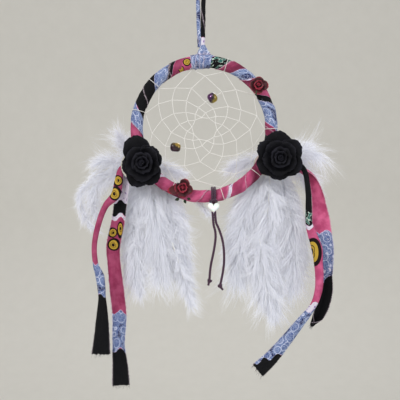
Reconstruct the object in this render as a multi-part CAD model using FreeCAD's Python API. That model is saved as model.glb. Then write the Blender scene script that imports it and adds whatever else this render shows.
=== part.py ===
import FreeCAD, Part
import math
import os

# Dream catcher: a cloth-wrapped hoop with a thread web, foam roses, plumes, cloth strips and
# a beaded cord.  Millimetres.  +Z is up, +X is to the viewer's right, the viewer stands at -Y
# and the wall is at +Y.  The origin is the nail's place inside the top of the hanging loop.

os.makedirs("parts", exist_ok=True)
V = FreeCAD.Vector
AXIS_X, AXIS_Y, AXIS_Z = V(1, 0, 0), V(0, 1, 0), V(0, 0, 1)

# Hoop
HOOP = V(3.5, 0, -143)
RING_R = 67.5  # centre line of the cane
CORE_R = 4.0
WRAP_IN_R, WRAP_R = 4.05, 6.5
TIE_R = 8.0
TIE_ANGLES = (86.5, 98.5)  # degrees round the hoop, counter-clockwise from +X
GLUE_GAP = 0.05  # between a glued piece and what it sits on

# Hanging loop
LOOP_R = 2.0
LOOP_ROUTE = [(-1.0, -61.0), (-4.4, 4.4), (4.6, 4.4), (2.2, -61.0)]
KNOT = V(2.5, 0, -62.5)
KNOT_R = 3.9

# Web
THREAD_R = 0.27
HITCH_R = WRAP_R + THREAD_R + GLUE_GAP
KNOT_BALL_R = 0.52
ANCHORS = [165, 138, 101, 71, 35, 0, -40, -74, -118, -156]
FIRST_ROW = [(151, 52), (125, 50), (89, 53), (51, 50.5), (14, 54.5),
             (-20, 52), (-55, 55), (-98, 52), (-137, 53), (-175.5, 52)]
SECOND_ROW = [(138, 43), (107, 42.5), (64, 41), (27, 41.5), (-1, 46),
              (-38, 42), (-76, 43), (-118, 42), (-156, 42.5), (-192, 43)]
THIRD_ROW = [(122, 33), (87, 27), (43, 33), (13, 36), (-19, 34),
             (-57, 33), (-97, 33), (-133.5, 26.5), (-174, 33), (-207, 34)]
INNER_SHRINK = [0.74, 0.73, 0.70]  # each inner row's radius over its neighbours' mean

# Web beads: (second-row knot, third-row knot, share of the run, diameter, length)
UPPER_BEAD = (2, 1, 0.58, 10.3, 9.3)
LOWER_BEAD = (8, 7, 0.50, 9.0, 10.4)
BEAD_HOLE_R = 0.7
BEAD_ROUND = 0.36  # the rounded ends' radius over the diameter

# Black foam roses: centre x and z, then the outer petals as (dx, dz, radius)
ROSE_BACK = -9.5
LEFT_ROSE = (-58.5, -178)
LEFT_LOBES = [(-5, 15, 12.5), (7.5, 5, 12), (8, -10, 11), (-3, -12.5, 11), (-8, -2, 10.5)]
RIGHT_ROSE = (77.5, -173)
RIGHT_LOBES = [(-1, 14, 13), (11.2, 7.6, 11.4), (11.4, -6.2, 11), (-0.6, -10.3, 11), (-11, -5, 11.5),
               (-12, 8, 10)]
FOAM = 1.6
# Small cloth roses
SMALL_BACK = -7.65
UPPER_ROSE = (57.1, -101)
UPPER_LOBES = [(0.5, 4, 4.5), (5.4, 0, 4.5), (-0.5, -4, 4.5), (-4.1, 0, 4.5)]
LOWER_ROSE = (-17.5, -202)
LOWER_LOBES = [(2, 4.5, 4.4), (5.5, -2, 4.5), (0, -5, 5), (-3.5, 0, 4.5), (-11, -2.6, 4.1)]
PETAL = 1.0

# Pads and dots of set glue: (x, z, radius)
UPPER_DOT = (56.3, -100.0, 3.0)
LOWER_DOT = (-17.5, -202, 3.5)
FRONT_PAD_LEFT = (-63.5, -180, 15)
FRONT_PAD_RIGHT = (78.5, -174, 15)
BACK_PAD_LEFT = (-55.5, -181, 11)
BACK_PAD_RIGHT = (64.5, -178, 11)
PAD_FRONT, PAD_BACK, PAD_BACK_ROOT = (ROSE_BACK, -5.0), (6.6, 7.6), 2.0
POST_LEFT, POST_RIGHT = (-62.5, -175), (71.5, -172)
POST_R, POST_END = 3.5, 22.2

# Pendant
CORD_R = 1.2
CORD_Y = -8.15
PENDANT_X = 12.9
CORD_PITCH = 2.3
LEFT_TAIL = [(11.75, -209.9), (11.75, -236.0), (15.6, -247.0), (13.4, -264.0),
             (9.2, -282.0), (8.9, -293.0)]
RIGHT_TAIL = [(14.05, -209.9), (14.05, -234.5), (18.2, -242.0), (22.6, -256.0),
              (23.7, -273.0), (22.0, -287.0), (19.5, -298.0)]
CORD_KNOT_R = 2.3
HEART_TOP, HEART_LOBE, HEART_WIDTH, HEART_HEIGHT, HEART_DEPTH = -217.5, 3.2, 12.2, 9.8, 7.4
HEART_HOLE_R = 2.75
HEART_EDGE = 0.9

# Cloth strips: centre line points (x, z), half widths, front face y
CLOTH = 1.2
STRIPS = {
    "strip_outer_left": ([(-73, -180), (-80, -186), (-84, -207), (-94, -220), (-100.5, -237),
                          (-104.7, -258), (-103.5, -277), (-100, -290), (-97.5, -312),
                          (-98, -340), (-98.7, -365)],
                         [2.5, 3, 3, 2.8, 2.8, 2.8, 3, 3.2, 4, 7, 8.7], -4.6),
    "strip_inner_left": ([(-71, -186), (-75.5, -193), (-80.5, -219), (-82.5, -236),
                          (-87, -259), (-86.5, -276), (-83.5, -304), (-81, -329),
                          (-81.5, -354), (-80.5, -379), (-79, -401)],
                         [3, 5, 6.5, 7, 6.5, 7, 7.5, 8, 8, 8.3, 8.5], -2.9),
    "strip_inner_right": ([(92, -177), (101, -181), (106.5, -204), (108, -229), (110.5, -249),
                           (114.5, -269), (117, -289), (114.5, -304), (108.5, -321),
                           (97.5, -338), (84.5, -355), (69.5, -372), (57, -383)],
                          [2.5, 2.5, 2.6, 2.8, 5, 6.5, 6.5, 6.5, 6.5, 7, 7.5, 8, 8], -4.6),
    "strip_outer_right": ([(92, -179), (99.5, -184), (110.5, -199), (117.5, -219),
                           (120.5, -244), (123.5, -269), (125.5, -294), (122.5, -314),
                           (111.5, -339)],
                          [2.5, 5, 6.5, 7.5, 8, 7.5, 7.5, 7, 1.5], -2.9),
}

# Plumes: centre line points (x, z) from the quill's root to the tip, half widths, front face y
VANE = 1.6
QUILL_R = 0.7
QUILL_STUB = 6.0
HANGING_LEFT = {
    "plume_left_middle": ([(-49, -188), (-46, -200), (-44, -229), (-42, -262), (-43, -288)],
                          [1, 9, 14, 13, 1], 8.0),
    "plume_left_outer": ([(-53, -188), (-58, -202), (-63, -229), (-65, -264), (-62, -299),
                          (-61.5, -317)],
                         [1, 8, 12.5, 14.5, 9, 1], 10.2),
    "plume_left_inner": ([(-47, -188), (-38, -204), (-33, -229), (-25, -262), (-15, -297),
                          (-9, -319)],
                         [1, 10, 16, 15, 11, 1], 12.4),
}
HANGING_RIGHT = {
    "plume_right_middle": ([(68, -187), (69, -202), (68, -231), (68, -273), (71, -312),
                            (73, -337)],
                           [1, 9, 15, 16, 17, 2], 8.0),
    "plume_right_inner": ([(65, -187), (57, -202), (47, -230), (38, -268), (29, -305)],
                          [1, 9, 15, 15, 3], 10.2),
    "plume_right_outer": ([(71, -187), (80, -202), (88, -230), (94, -262), (95, -297),
                           (90, -322)],
                          [1, 9, 14, 17, 15, 2], 12.4),
}
FIXED_LEFT = {
    "plume_side_left_upper": ([(-66, -173), (-74, -162), (-80, -152), (-85, -142)],
                              [1, 9, 10, 1], 16.6),
    "plume_side_left_middle": ([(-67, -177), (-82, -178), (-103, -177), (-123, -182)],
                               [1, 9, 10, 1], 18.4),
    "plume_side_left_lower": ([(-66, -179), (-90, -195), (-108, -210), (-116, -227),
                               (-108, -249)],
                              [1, 11, 14, 9, 1], 20.2),
    "plume_behind_web_left": ([(-58, -176), (-42, -181), (-26, -184), (-13, -190)],
                              [1, 6, 7, 1], 14.8),
}
FIXED_RIGHT = {
    "plume_side_right_upper": ([(75, -171), (96, -166), (113, -163), (129, -163)],
                               [1, 9, 11, 1], 14.8),
    "plume_side_right_lower": ([(75, -174), (102, -181), (124, -198), (132, -227)],
                               [1, 9, 11, 1], 16.6),
    "plume_behind_web_right": ([(68, -172), (52, -176), (38, -180), (25, -187)],
                               [1, 8, 10, 1], 18.4),
}
WISP = {
    "plume_wisp": ([(-4, -212), (3, -222), (11, -232)], [1, 3.5, 1], 6.7),
}


def at(x, z, y=0.0):
    return V(x, y, z)


def on_hoop(angle, radius):
    turn = math.radians(angle)
    return HOOP + V(radius * math.cos(turn), 0, radius * math.sin(turn))


def save(node, shape):
    solids = shape.Solids
    if not shape.isValid() or len(solids) != 1:
        print("CHECK", node, "valid", shape.isValid(), "solids", len(solids))
    solids[0].exportStep(f"parts/{node}.step")
    box, centre = shape.BoundBox, solids[0].CenterOfGravity
    print(f"{node}: {box.XLength:.1f} x {box.YLength:.1f} x {box.ZLength:.1f} mm, "
          f"centre {centre.x:.1f} {centre.y:.1f} {centre.z:.1f}")


def fuse(shapes):
    return shapes[0].multiFuse(shapes[1:]).removeSplitter() if len(shapes) > 1 else shapes[0]


def disc(x, z, radius, y0, y1):
    return Part.makeCylinder(radius, y1 - y0, at(x, z, y0), AXIS_Y)


def hoop_tube(radius):
    return Part.makeTorus(RING_R, radius, HOOP, AXIS_Y)


def route(points):
    """Straight runs joined by tangent arcs, each as wide as its shorter neighbour allows."""
    corners = []
    for before, corner, after in zip(points, points[1:], points[2:]):
        arriving, leaving = corner - before, after - corner
        half = arriving.getAngle(leaving) / 2
        reach = 0.45 * min(arriving.Length, leaving.Length)
        start = corner - arriving * (reach / arriving.Length)
        end = corner + leaving * (reach / leaving.Length)
        bend = reach / math.tan(half)
        inward = (start + end) * 0.5 - corner
        centre_off = bend / math.cos(half)
        middle = corner + inward * ((centre_off - bend) / inward.Length)
        corners.append((start, middle, end, bend))
    edges, last = [], points[0]
    for start, middle, end, bend in corners:
        edges.append(Part.LineSegment(last, start).toShape())
        edges.append(Part.Arc(start, middle, end).toShape())
        last = end
    edges.append(Part.LineSegment(last, points[-1]).toShape())
    print("bend radii, mm:", [round(corner[3], 1) for corner in corners])
    return Part.Wire(edges)


def cord(points, radius):
    path = route(points)
    along = points[1] - points[0]
    ring = Part.Wire(Part.makeCircle(radius, points[0], along))
    return path.makePipeShell([ring], True, False)


def band_outline(points, halves):
    """A closed smooth outline round a centre line, square at both ends."""
    line = [at(x, z) for x, z in points]
    sides = ([], [])
    for i, (point, half) in enumerate(zip(line, halves)):
        along = line[min(i + 1, len(line) - 1)] - line[max(i - 1, 0)]
        across = along.cross(AXIS_Y).normalize() * half
        sides[0].append(point + across)
        sides[1].append(point - across)
    curves = []
    for side in sides:
        curve = Part.BSplineCurve()
        curve.interpolate(side)
        curves.append(curve.toShape())
    ends = [Part.LineSegment(sides[0][i], sides[1][i]).toShape() for i in (0, -1)]
    return Part.Wire(Part.__sortEdges__([curves[0], ends[1], curves[1], ends[0]]))


def sheet(points, halves, front, thick):
    face = Part.Face(band_outline(points, halves))
    face.translate(V(0, front, 0))
    return face.extrude(V(0, thick, 0))


def plume(points, halves, front):
    """A vane with its quill, which stands out of the root by QUILL_STUB."""
    vane = sheet(points, halves, front, VANE)
    middle = front + VANE / 2
    root, second = at(*points[0], middle), at(*points[1], middle)
    along = (second - root).normalize()
    start = root - along * QUILL_STUB
    quill = Part.makeCylinder(QUILL_R, QUILL_STUB + (second - root).Length * 0.9, start, along)
    return fuse([vane, quill])


def petal_sheet(centre, lobes, back, bowl_r, thick):
    """Round lobes cut from a shallow bowl that opens towards the viewer."""
    x, z = centre
    reach = max(math.hypot(dx, dz) + r for dx, dz, r in lobes)
    depth = bowl_r - math.sqrt(bowl_r**2 - reach**2) + thick
    outline = fuse([disc(x + dx, z + dz, r, back - depth, back + 1) for dx, dz, r in lobes])
    middle = at(x, z, back - bowl_r)
    bowl = Part.makeSphere(bowl_r, middle).cut(Part.makeSphere(bowl_r - thick, middle))
    return outline.common(bowl)


def ring_of_lobes(count, distance, radius, first):
    turns = [math.radians(first + 360 * i / count) for i in range(count)]
    return [(distance * math.cos(t), distance * math.sin(t), radius) for t in turns]


def bud(centre, base, front, start_r, pitch, wall, halves):
    """A rolled strip, wound from half circles about two centres, on a small foot."""
    x, z = centre
    outer, inner = [], []
    for k in range(halves):
        cx, r = (pitch / 2 if k % 2 else 0.0), start_r + k * pitch / 2
        side = -1 if k % 2 else 1
        for edges, rr in ((outer, r + wall / 2), (inner, r - wall / 2)):
            ends = (at(x + cx + side * rr, z, base), at(x + cx - side * rr, z, base))
            top = at(x + cx, z + side * rr, base)
            edges.append((ends[0], top, ends[1]))
    arcs = [Part.Arc(*e).toShape() for e in outer + inner]
    caps = [Part.LineSegment(outer[i][e], inner[i][e]).toShape() for i, e in ((0, 0), (-1, 2))]
    face = Part.Face(Part.Wire(Part.__sortEdges__(arcs + caps)))
    roll = face.extrude(V(0, front - base, 0))
    foot_r = start_r + (halves - 2) * pitch / 2
    foot = disc(x + pitch / 4, z, foot_r, base - wall, base)
    return fuse([roll, foot])


def rose(name, centre, lobes, back, thick, layers, bud_sizes):
    """Petal layers from the back forwards, then the rolled bud in the innermost bowl."""
    for i, (layer, bowl_r, shape) in enumerate(layers):
        petals = petal_sheet(centre, shape or lobes, back - i * (thick + 0.3), bowl_r, thick)
        save(f"{name}_{layer}_petals", petals)
    base, front, start_r, pitch, wall, halves = bud_sizes
    save(f"{name}_bud", bud(centre, base, front, start_r, pitch, wall, halves))


def bead(start, end, share, diameter, length):
    """A barrel bead with rounded ends, bored along the thread run from start to end."""
    across, half, round_r = diameter / 2, length / 2, diameter * BEAD_ROUND
    slant = round_r * math.sqrt(0.5)
    middle = V(across - round_r, 0, half - round_r)
    top = [middle + V(0, 0, round_r), middle + V(slant, 0, slant), middle + V(round_r, 0, 0)]
    bottom = [V(p.x, 0, -p.z) for p in top]
    bore = [V(BEAD_HOLE_R, 0, z) for z in (-half, half)]
    edges = [Part.LineSegment(bore[1], top[0]), Part.Arc(*top),
             Part.LineSegment(top[2], bottom[2]), Part.Arc(*bottom[::-1]),
             Part.LineSegment(bottom[0], bore[0]), Part.LineSegment(*bore)]
    profile = Part.Face(Part.Wire([edge.toShape() for edge in edges]))
    solid = profile.revolve(V(0, 0, 0), AXIS_Z, 360)
    run = end - start
    solid.Placement = FreeCAD.Placement(start + run * share,
                                        FreeCAD.Rotation(AXIS_Z, run))
    print("bead at", start + run * share, "along", run.normalize())
    return solid


def web_rows():
    rows = [[on_hoop(a, RING_R - HITCH_R) for a in ANCHORS]]
    polar = [FIRST_ROW, SECOND_ROW, THIRD_ROW]
    for shrink in INNER_SHRINK:
        last = polar[-1]
        turned = last[1:] + [(last[0][0] - 360, last[0][1])]
        polar.append([((a[0] + b[0]) / 2, shrink * (a[1] + b[1]) / 2)
                      for a, b in zip(last, turned)])
    return rows + [[on_hoop(a, r) for a, r in row] for row in polar]


def hitch(angle, thread_r):
    """The thread's turn round the wrapped hoop."""
    turn = math.radians(angle)
    along = V(-math.sin(turn), 0, math.cos(turn))
    return Part.makeTorus(HITCH_R, thread_r, on_hoop(angle, RING_R), along)


def web(rows):
    pieces = []

    def run(a, b):
        pieces.append(Part.makeCylinder(THREAD_R, (b - a).Length, a, b - a))

    for outer, inner in zip(rows, rows[1:]):
        for i, knot in enumerate(inner):
            run(outer[i], knot)
            run(outer[(i + 1) % len(outer)], knot)
    middle = rows[-1]
    for i, knot in enumerate(middle):
        run(knot, middle[(i + 1) % len(middle)])
    pieces += [Part.makeSphere(KNOT_BALL_R, knot) for row in rows[1:] for knot in row]
    pieces += [hitch(angle, THREAD_R) for angle in ANCHORS]
    pieces += [Part.makeSphere(KNOT_BALL_R * 0.8, foot) for foot in rows[0]]
    return fuse(pieces)


def heart():
    """Two round lobes over a tapering body, with one wide hole for both cords."""
    lobe_x = HEART_WIDTH / 2 - HEART_LOBE
    lobe_z = HEART_TOP - HEART_LOBE
    tip = V(PENDANT_X, 0, HEART_TOP - HEART_HEIGHT)
    y0, y1 = CORD_Y - HEART_DEPTH / 2, CORD_Y + HEART_DEPTH / 2
    lobes = [disc(PENDANT_X + s * lobe_x, lobe_z, HEART_LOBE, y0, y1) for s in (-1, 1)]
    to_lobe = V(lobe_x, 0, lobe_z - tip.z)
    lean = math.asin(HEART_LOBE / to_lobe.Length) + math.atan2(lobe_x, to_lobe.z)
    side = math.sqrt(to_lobe.Length**2 - HEART_LOBE**2)
    flank = V(side * math.sin(lean), 0, side * math.cos(lean))
    middle = V(PENDANT_X, 0, lobe_z + 0.6)
    corners = [tip, tip + flank, middle, tip + V(-flank.x, 0, flank.z), tip]
    body = Part.Face(Part.makePolygon(corners))
    body.translate(V(0, y0, 0))
    solid = fuse(lobes + [body.extrude(V(0, y1 - y0, 0))])
    rims = [e for e in solid.Edges if abs(e.BoundBox.YLength) < 0.01]
    solid = solid.makeFillet(HEART_EDGE, rims)
    hole = Part.makeCylinder(HEART_HOLE_R, HEART_HEIGHT + 4,
                             at(PENDANT_X, HEART_TOP + 2, CORD_Y), AXIS_Z * -1)
    return solid.cut(hole)


def pendant():
    """A lark's head on the hoop and its two tails."""
    ring_r = -CORD_Y
    height = LEFT_TAIL[0][1]
    hitch = [Part.makeTorus(ring_r, CORD_R, V(PENDANT_X + s * CORD_PITCH / 2, 0, height),
                            AXIS_X) for s in (-1, 1)]
    bight_z, bight_y = height + 4.2, CORD_Y - 0.9
    bight = Part.makeCylinder(CORD_R, CORD_PITCH + 2.2,
                              V(PENDANT_X - CORD_PITCH / 2 - 1.1, bight_y, bight_z), AXIS_X)
    tails = [cord([at(x, z, CORD_Y) for x, z in points], CORD_R)
             for points in (LEFT_TAIL, RIGHT_TAIL)]
    return fuse(hitch + [bight] + tails)


def cord_knot(end):
    """An overhand knot, as two crossed turns round a ball."""
    x, z = end
    centre = at(x, z - 1.0, CORD_Y)
    turns = [Part.makeTorus(CORD_KNOT_R - 0.9, CORD_R, centre, V(lean, 0.3, 1))
             for lean in (-0.5, 0.6)]
    knot = fuse([Part.makeSphere(CORD_KNOT_R, centre)] + turns)
    stub = cord([at(x0, z0, CORD_Y) for x0, z0 in ((x, z + 4), (x, z - 1))], CORD_R + GLUE_GAP)
    return knot.cut(stub)


def seated(glue):
    """Set glue hugging the wrapped hoop and the thread on it."""
    threads = [hitch(angle, THREAD_R + GLUE_GAP) for angle in ANCHORS]
    glue = glue.cut(hoop_tube(WRAP_R + GLUE_GAP))
    return glue.cut([t for t in threads if t.distToShape(glue)[0] == 0])


def front_pad(x, z, radius, front=PAD_FRONT[0], back=PAD_FRONT[1]):
    return seated(disc(x, z, radius, front + GLUE_GAP, back))


def back_pad(pad, post):
    x, z, radius = pad
    plate = seated(disc(x, z, radius, PAD_BACK_ROOT, PAD_BACK[1]))
    stem = disc(*post, POST_R, PAD_BACK[0], POST_END)
    return fuse([max(plate.Solids, key=lambda s: s.Volume), stem])


def main():
    save("hoop_core", hoop_tube(CORE_R))
    save("hoop_wrap", hoop_tube(WRAP_R).cut(hoop_tube(WRAP_IN_R)))
    start, end = TIE_ANGLES
    ends = Part.Face(Part.Wire(Part.makeCircle(TIE_R, on_hoop(0, RING_R), AXIS_Z)))
    sleeve = ends.revolve(HOOP, AXIS_Y * -1, end - start)
    sleeve.rotate(HOOP, AXIS_Y * -1, start)
    save("tie_band", sleeve.cut(hoop_tube(WRAP_R + GLUE_GAP)))

    save("hang_loop", cord([at(x, z) for x, z in LOOP_ROUTE], LOOP_R))
    turns = [Part.makeTorus(KNOT_R - 1.3, 1.7, KNOT, V(lean, 0.2, 1)) for lean in (-0.7, 0.9)]
    save("hang_knot", fuse([Part.makeSphere(KNOT_R, KNOT)] + turns))

    rows = web_rows()
    save("web_thread", web(rows))
    for node, (second, third, share, diameter, length) in (
            ("web_bead_upper", UPPER_BEAD), ("web_bead_lower", LOWER_BEAD)):
        save(node, bead(rows[2][second], rows[3][third], share, diameter, length))

    black_layers = [("outer", 45, None), ("middle", 19, ring_of_lobes(4, 7, 9, 20)),
                    ("inner", 12.5, ring_of_lobes(3, 4.2, 7.4, 75))]
    for name, centre, lobes in (("black_rose_left", LEFT_ROSE, LEFT_LOBES),
                                ("black_rose_right", RIGHT_ROSE, RIGHT_LOBES)):
        rose(name, centre, lobes, ROSE_BACK, FOAM, black_layers,
             (-17.6, -28.0, 1.3, 1.9, 1.4, 5))
    for name, centre, lobes, bowl_r in (("red_rose_upper", UPPER_ROSE, UPPER_LOBES, 17),
                                        ("red_rose_lower", LOWER_ROSE, LOWER_LOBES, 28)):
        red_layers = [("outer", bowl_r, None), ("inner", 8, ring_of_lobes(3, 2.3, 3.5, 30))]
        rose(name, centre, lobes, SMALL_BACK, PETAL, red_layers,
             (-11.6, -16.0, 0.7, 1.1, 0.8, 4))
    x, z = UPPER_ROSE
    save("red_rose_upper_stem", fuse([disc(x - 2, z - 7.2, 1.3, -8.3, SMALL_BACK + 0.9),
                                      disc(x - 2.4, z - 8.9, 1.0, -8.2, SMALL_BACK + 0.9)]))
    x, z = LOWER_ROSE
    save("red_rose_lower_leaf", sheet([(x - 4.5, z - 10.6), (x, z - 11.9), (x + 4.5, z - 10.8)],
                                      [0.5, 1.5, 0.4], SMALL_BACK - 0.6, 0.8))
    for node, dot in (("glue_dot_upper", UPPER_DOT), ("glue_dot_lower", LOWER_DOT)):
        save(node, front_pad(*dot, SMALL_BACK, -5.2))

    save("glue_front_left", front_pad(*FRONT_PAD_LEFT))
    save("glue_front_right", front_pad(*FRONT_PAD_RIGHT))
    save("glue_back_left", back_pad(BACK_PAD_LEFT, POST_LEFT))
    save("glue_back_right", back_pad(BACK_PAD_RIGHT, POST_RIGHT))

    save("pendant_cord", pendant())
    save("pendant_knot_left", cord_knot(LEFT_TAIL[-1]))
    save("pendant_knot_right", cord_knot(RIGHT_TAIL[-1]))
    save("heart_bead", heart())

    for node, (points, halves, front) in STRIPS.items():
        save(node, sheet(points, halves, front, CLOTH))
    for group in (HANGING_LEFT, HANGING_RIGHT, FIXED_LEFT, FIXED_RIGHT, WISP):
        for node, sizes in group.items():
            save(node, plume(*sizes))


main()
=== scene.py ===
import math

import bpy
import numpy as np
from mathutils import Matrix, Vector, noise


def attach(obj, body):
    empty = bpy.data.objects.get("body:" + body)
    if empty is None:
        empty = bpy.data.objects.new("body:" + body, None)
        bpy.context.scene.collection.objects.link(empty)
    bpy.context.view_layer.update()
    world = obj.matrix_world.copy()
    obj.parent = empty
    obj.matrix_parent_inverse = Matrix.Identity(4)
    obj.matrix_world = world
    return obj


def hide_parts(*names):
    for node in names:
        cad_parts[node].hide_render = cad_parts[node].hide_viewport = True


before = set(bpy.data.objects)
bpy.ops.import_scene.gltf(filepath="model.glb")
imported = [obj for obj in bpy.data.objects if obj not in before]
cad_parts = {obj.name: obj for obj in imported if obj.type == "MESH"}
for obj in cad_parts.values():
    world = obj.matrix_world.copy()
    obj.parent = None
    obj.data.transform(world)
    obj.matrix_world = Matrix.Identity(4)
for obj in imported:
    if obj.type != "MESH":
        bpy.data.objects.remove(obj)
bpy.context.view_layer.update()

# The row frame is in metres; the pieces below are laid out in millimetres and scaled by MM.
MM = 0.001
HOOP_X, HOOP_Z, RING_R = 3.5, -143.0, 67.5
TURN = 2 * math.pi
TO_VIEWER = np.array([0.0, -1.0, 0.0])
RING_EDGE = 4.6  # a ring motif's outer radius, in the units of the motif attribute


# ---------------------------------------------------------------- camera, stage and light
def new_object(name, data):
    obj = bpy.data.objects.new(name, data)
    bpy.context.scene.collection.objects.link(obj)
    return obj


def look_at(obj, target):
    obj.rotation_euler = (Vector(target) - obj.location).to_track_quat("-Z", "Y").to_euler()


VIEW_CENTRE = (-0.0005, 0.0, -0.214)
camera = new_object("camera", bpy.data.cameras.new("camera"))
camera.data.lens, camera.data.sensor_width = 60, 36
camera.location = (VIEW_CENTRE[0], -0.6667, VIEW_CENTRE[2])
look_at(camera, VIEW_CENTRE)
bpy.context.scene.camera = camera
bpy.context.scene.view_settings.view_transform = "Standard"


def area_light(name, place, size, watts, colour):
    light = bpy.data.lights.new(name, "AREA")
    light.shape, light.size, light.energy, light.color = "DISK", size, watts, colour
    obj = new_object(name, light)
    obj.location = place
    look_at(obj, VIEW_CENTRE)


area_light("key", (-0.55, -0.95, 0.55), 0.55, 9.5, (1.0, 0.98, 0.95))
area_light("fill", (0.8, -0.8, -0.1), 0.9, 3.5, (0.93, 0.96, 1.0))
area_light("rim", (0.3, 0.7, 0.6), 0.6, 3.5, (1.0, 1.0, 1.0))


# ---------------------------------------------------------------- node materials
class Shader:
    """A node material in the making; each method adds nodes and returns an output."""

    def __init__(self, name):
        self.material = bpy.data.materials.new(name)
        self.material.use_nodes = True
        self.tree = self.material.node_tree
        self.tree.nodes.clear()

    def add(self, kind, inputs=None, output=0, **settings):
        node = self.tree.nodes.new("ShaderNode" + kind)
        for key, value in settings.items():
            setattr(node, key, value)
        for key, value in (inputs or {}).items():
            if isinstance(value, bpy.types.NodeSocket):
                self.tree.links.new(value, node.inputs[key])
            else:
                node.inputs[key].default_value = value
        return node.outputs[output]

    def math(self, operation, a, b=0.0, clamp=False):
        return self.add("Math", {0: a, 1: b}, operation=operation, use_clamp=clamp)

    def times(self, a, b):
        return self.math("MULTIPLY", a, b)

    def plus(self, a, b, clamp=False):
        return self.math("ADD", a, b, clamp)

    def inverse(self, a):
        return self.math("SUBTRACT", 1.0, a)

    def mix(self, share, a, b):
        def colour(c):
            return c if isinstance(c, bpy.types.NodeSocket) else (*c, 1.0)
        return self.add("Mix", {0: share, 6: colour(a), 7: colour(b)}, output=2,
                        data_type="RGBA")

    def noise(self, where, scale, detail=3.0, roughness=0.55, distortion=0.0):
        return self.add("TexNoise", {"Vector": where, "Scale": scale, "Detail": detail,
                                     "Roughness": roughness, "Distortion": distortion})

    def cells(self, where, scale, feature="F1"):
        return self.add("TexVoronoi", {"Vector": where, "Scale": scale},
                        output="Distance", feature=feature)

    def step(self, value, low, high):
        """0 below low, 1 above high, smooth between."""
        return self.add("MapRange", {"Value": value, "From Min": low, "From Max": high},
                        interpolation_type="SMOOTHSTEP")

    def attribute(self, name, output="Vector"):
        return self.add("Attribute", output=output, attribute_name=name)

    def object_place(self):
        return self.add("TexCoord", output="Object")

    def split(self, vector):
        node = self.tree.nodes.new("ShaderNodeSeparateXYZ")
        self.tree.links.new(vector, node.inputs[0])
        return node.outputs

    def bump(self, height, strength, distance):
        return self.add("Bump", {"Height": height, "Strength": strength,
                                 "Distance": distance})

    def surface(self, **inputs):
        """The closing Principled shader; keys are its inputs' names with _ for spaces."""
        shader = self.add("BsdfPrincipled",
                          {key.replace("_", " "): value for key, value in inputs.items()})
        out = self.tree.nodes.new("ShaderNodeOutputMaterial")
        self.tree.links.new(shader, out.inputs["Surface"])
        return self.material


def stage_material():
    s = Shader("stage_paper")
    grain = s.noise(s.object_place(), 35.0, 4)
    colour = s.mix(grain, (0.645, 0.635, 0.60), (0.695, 0.685, 0.65))
    return s.surface(Base_Color=colour, Roughness=0.95)


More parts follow.
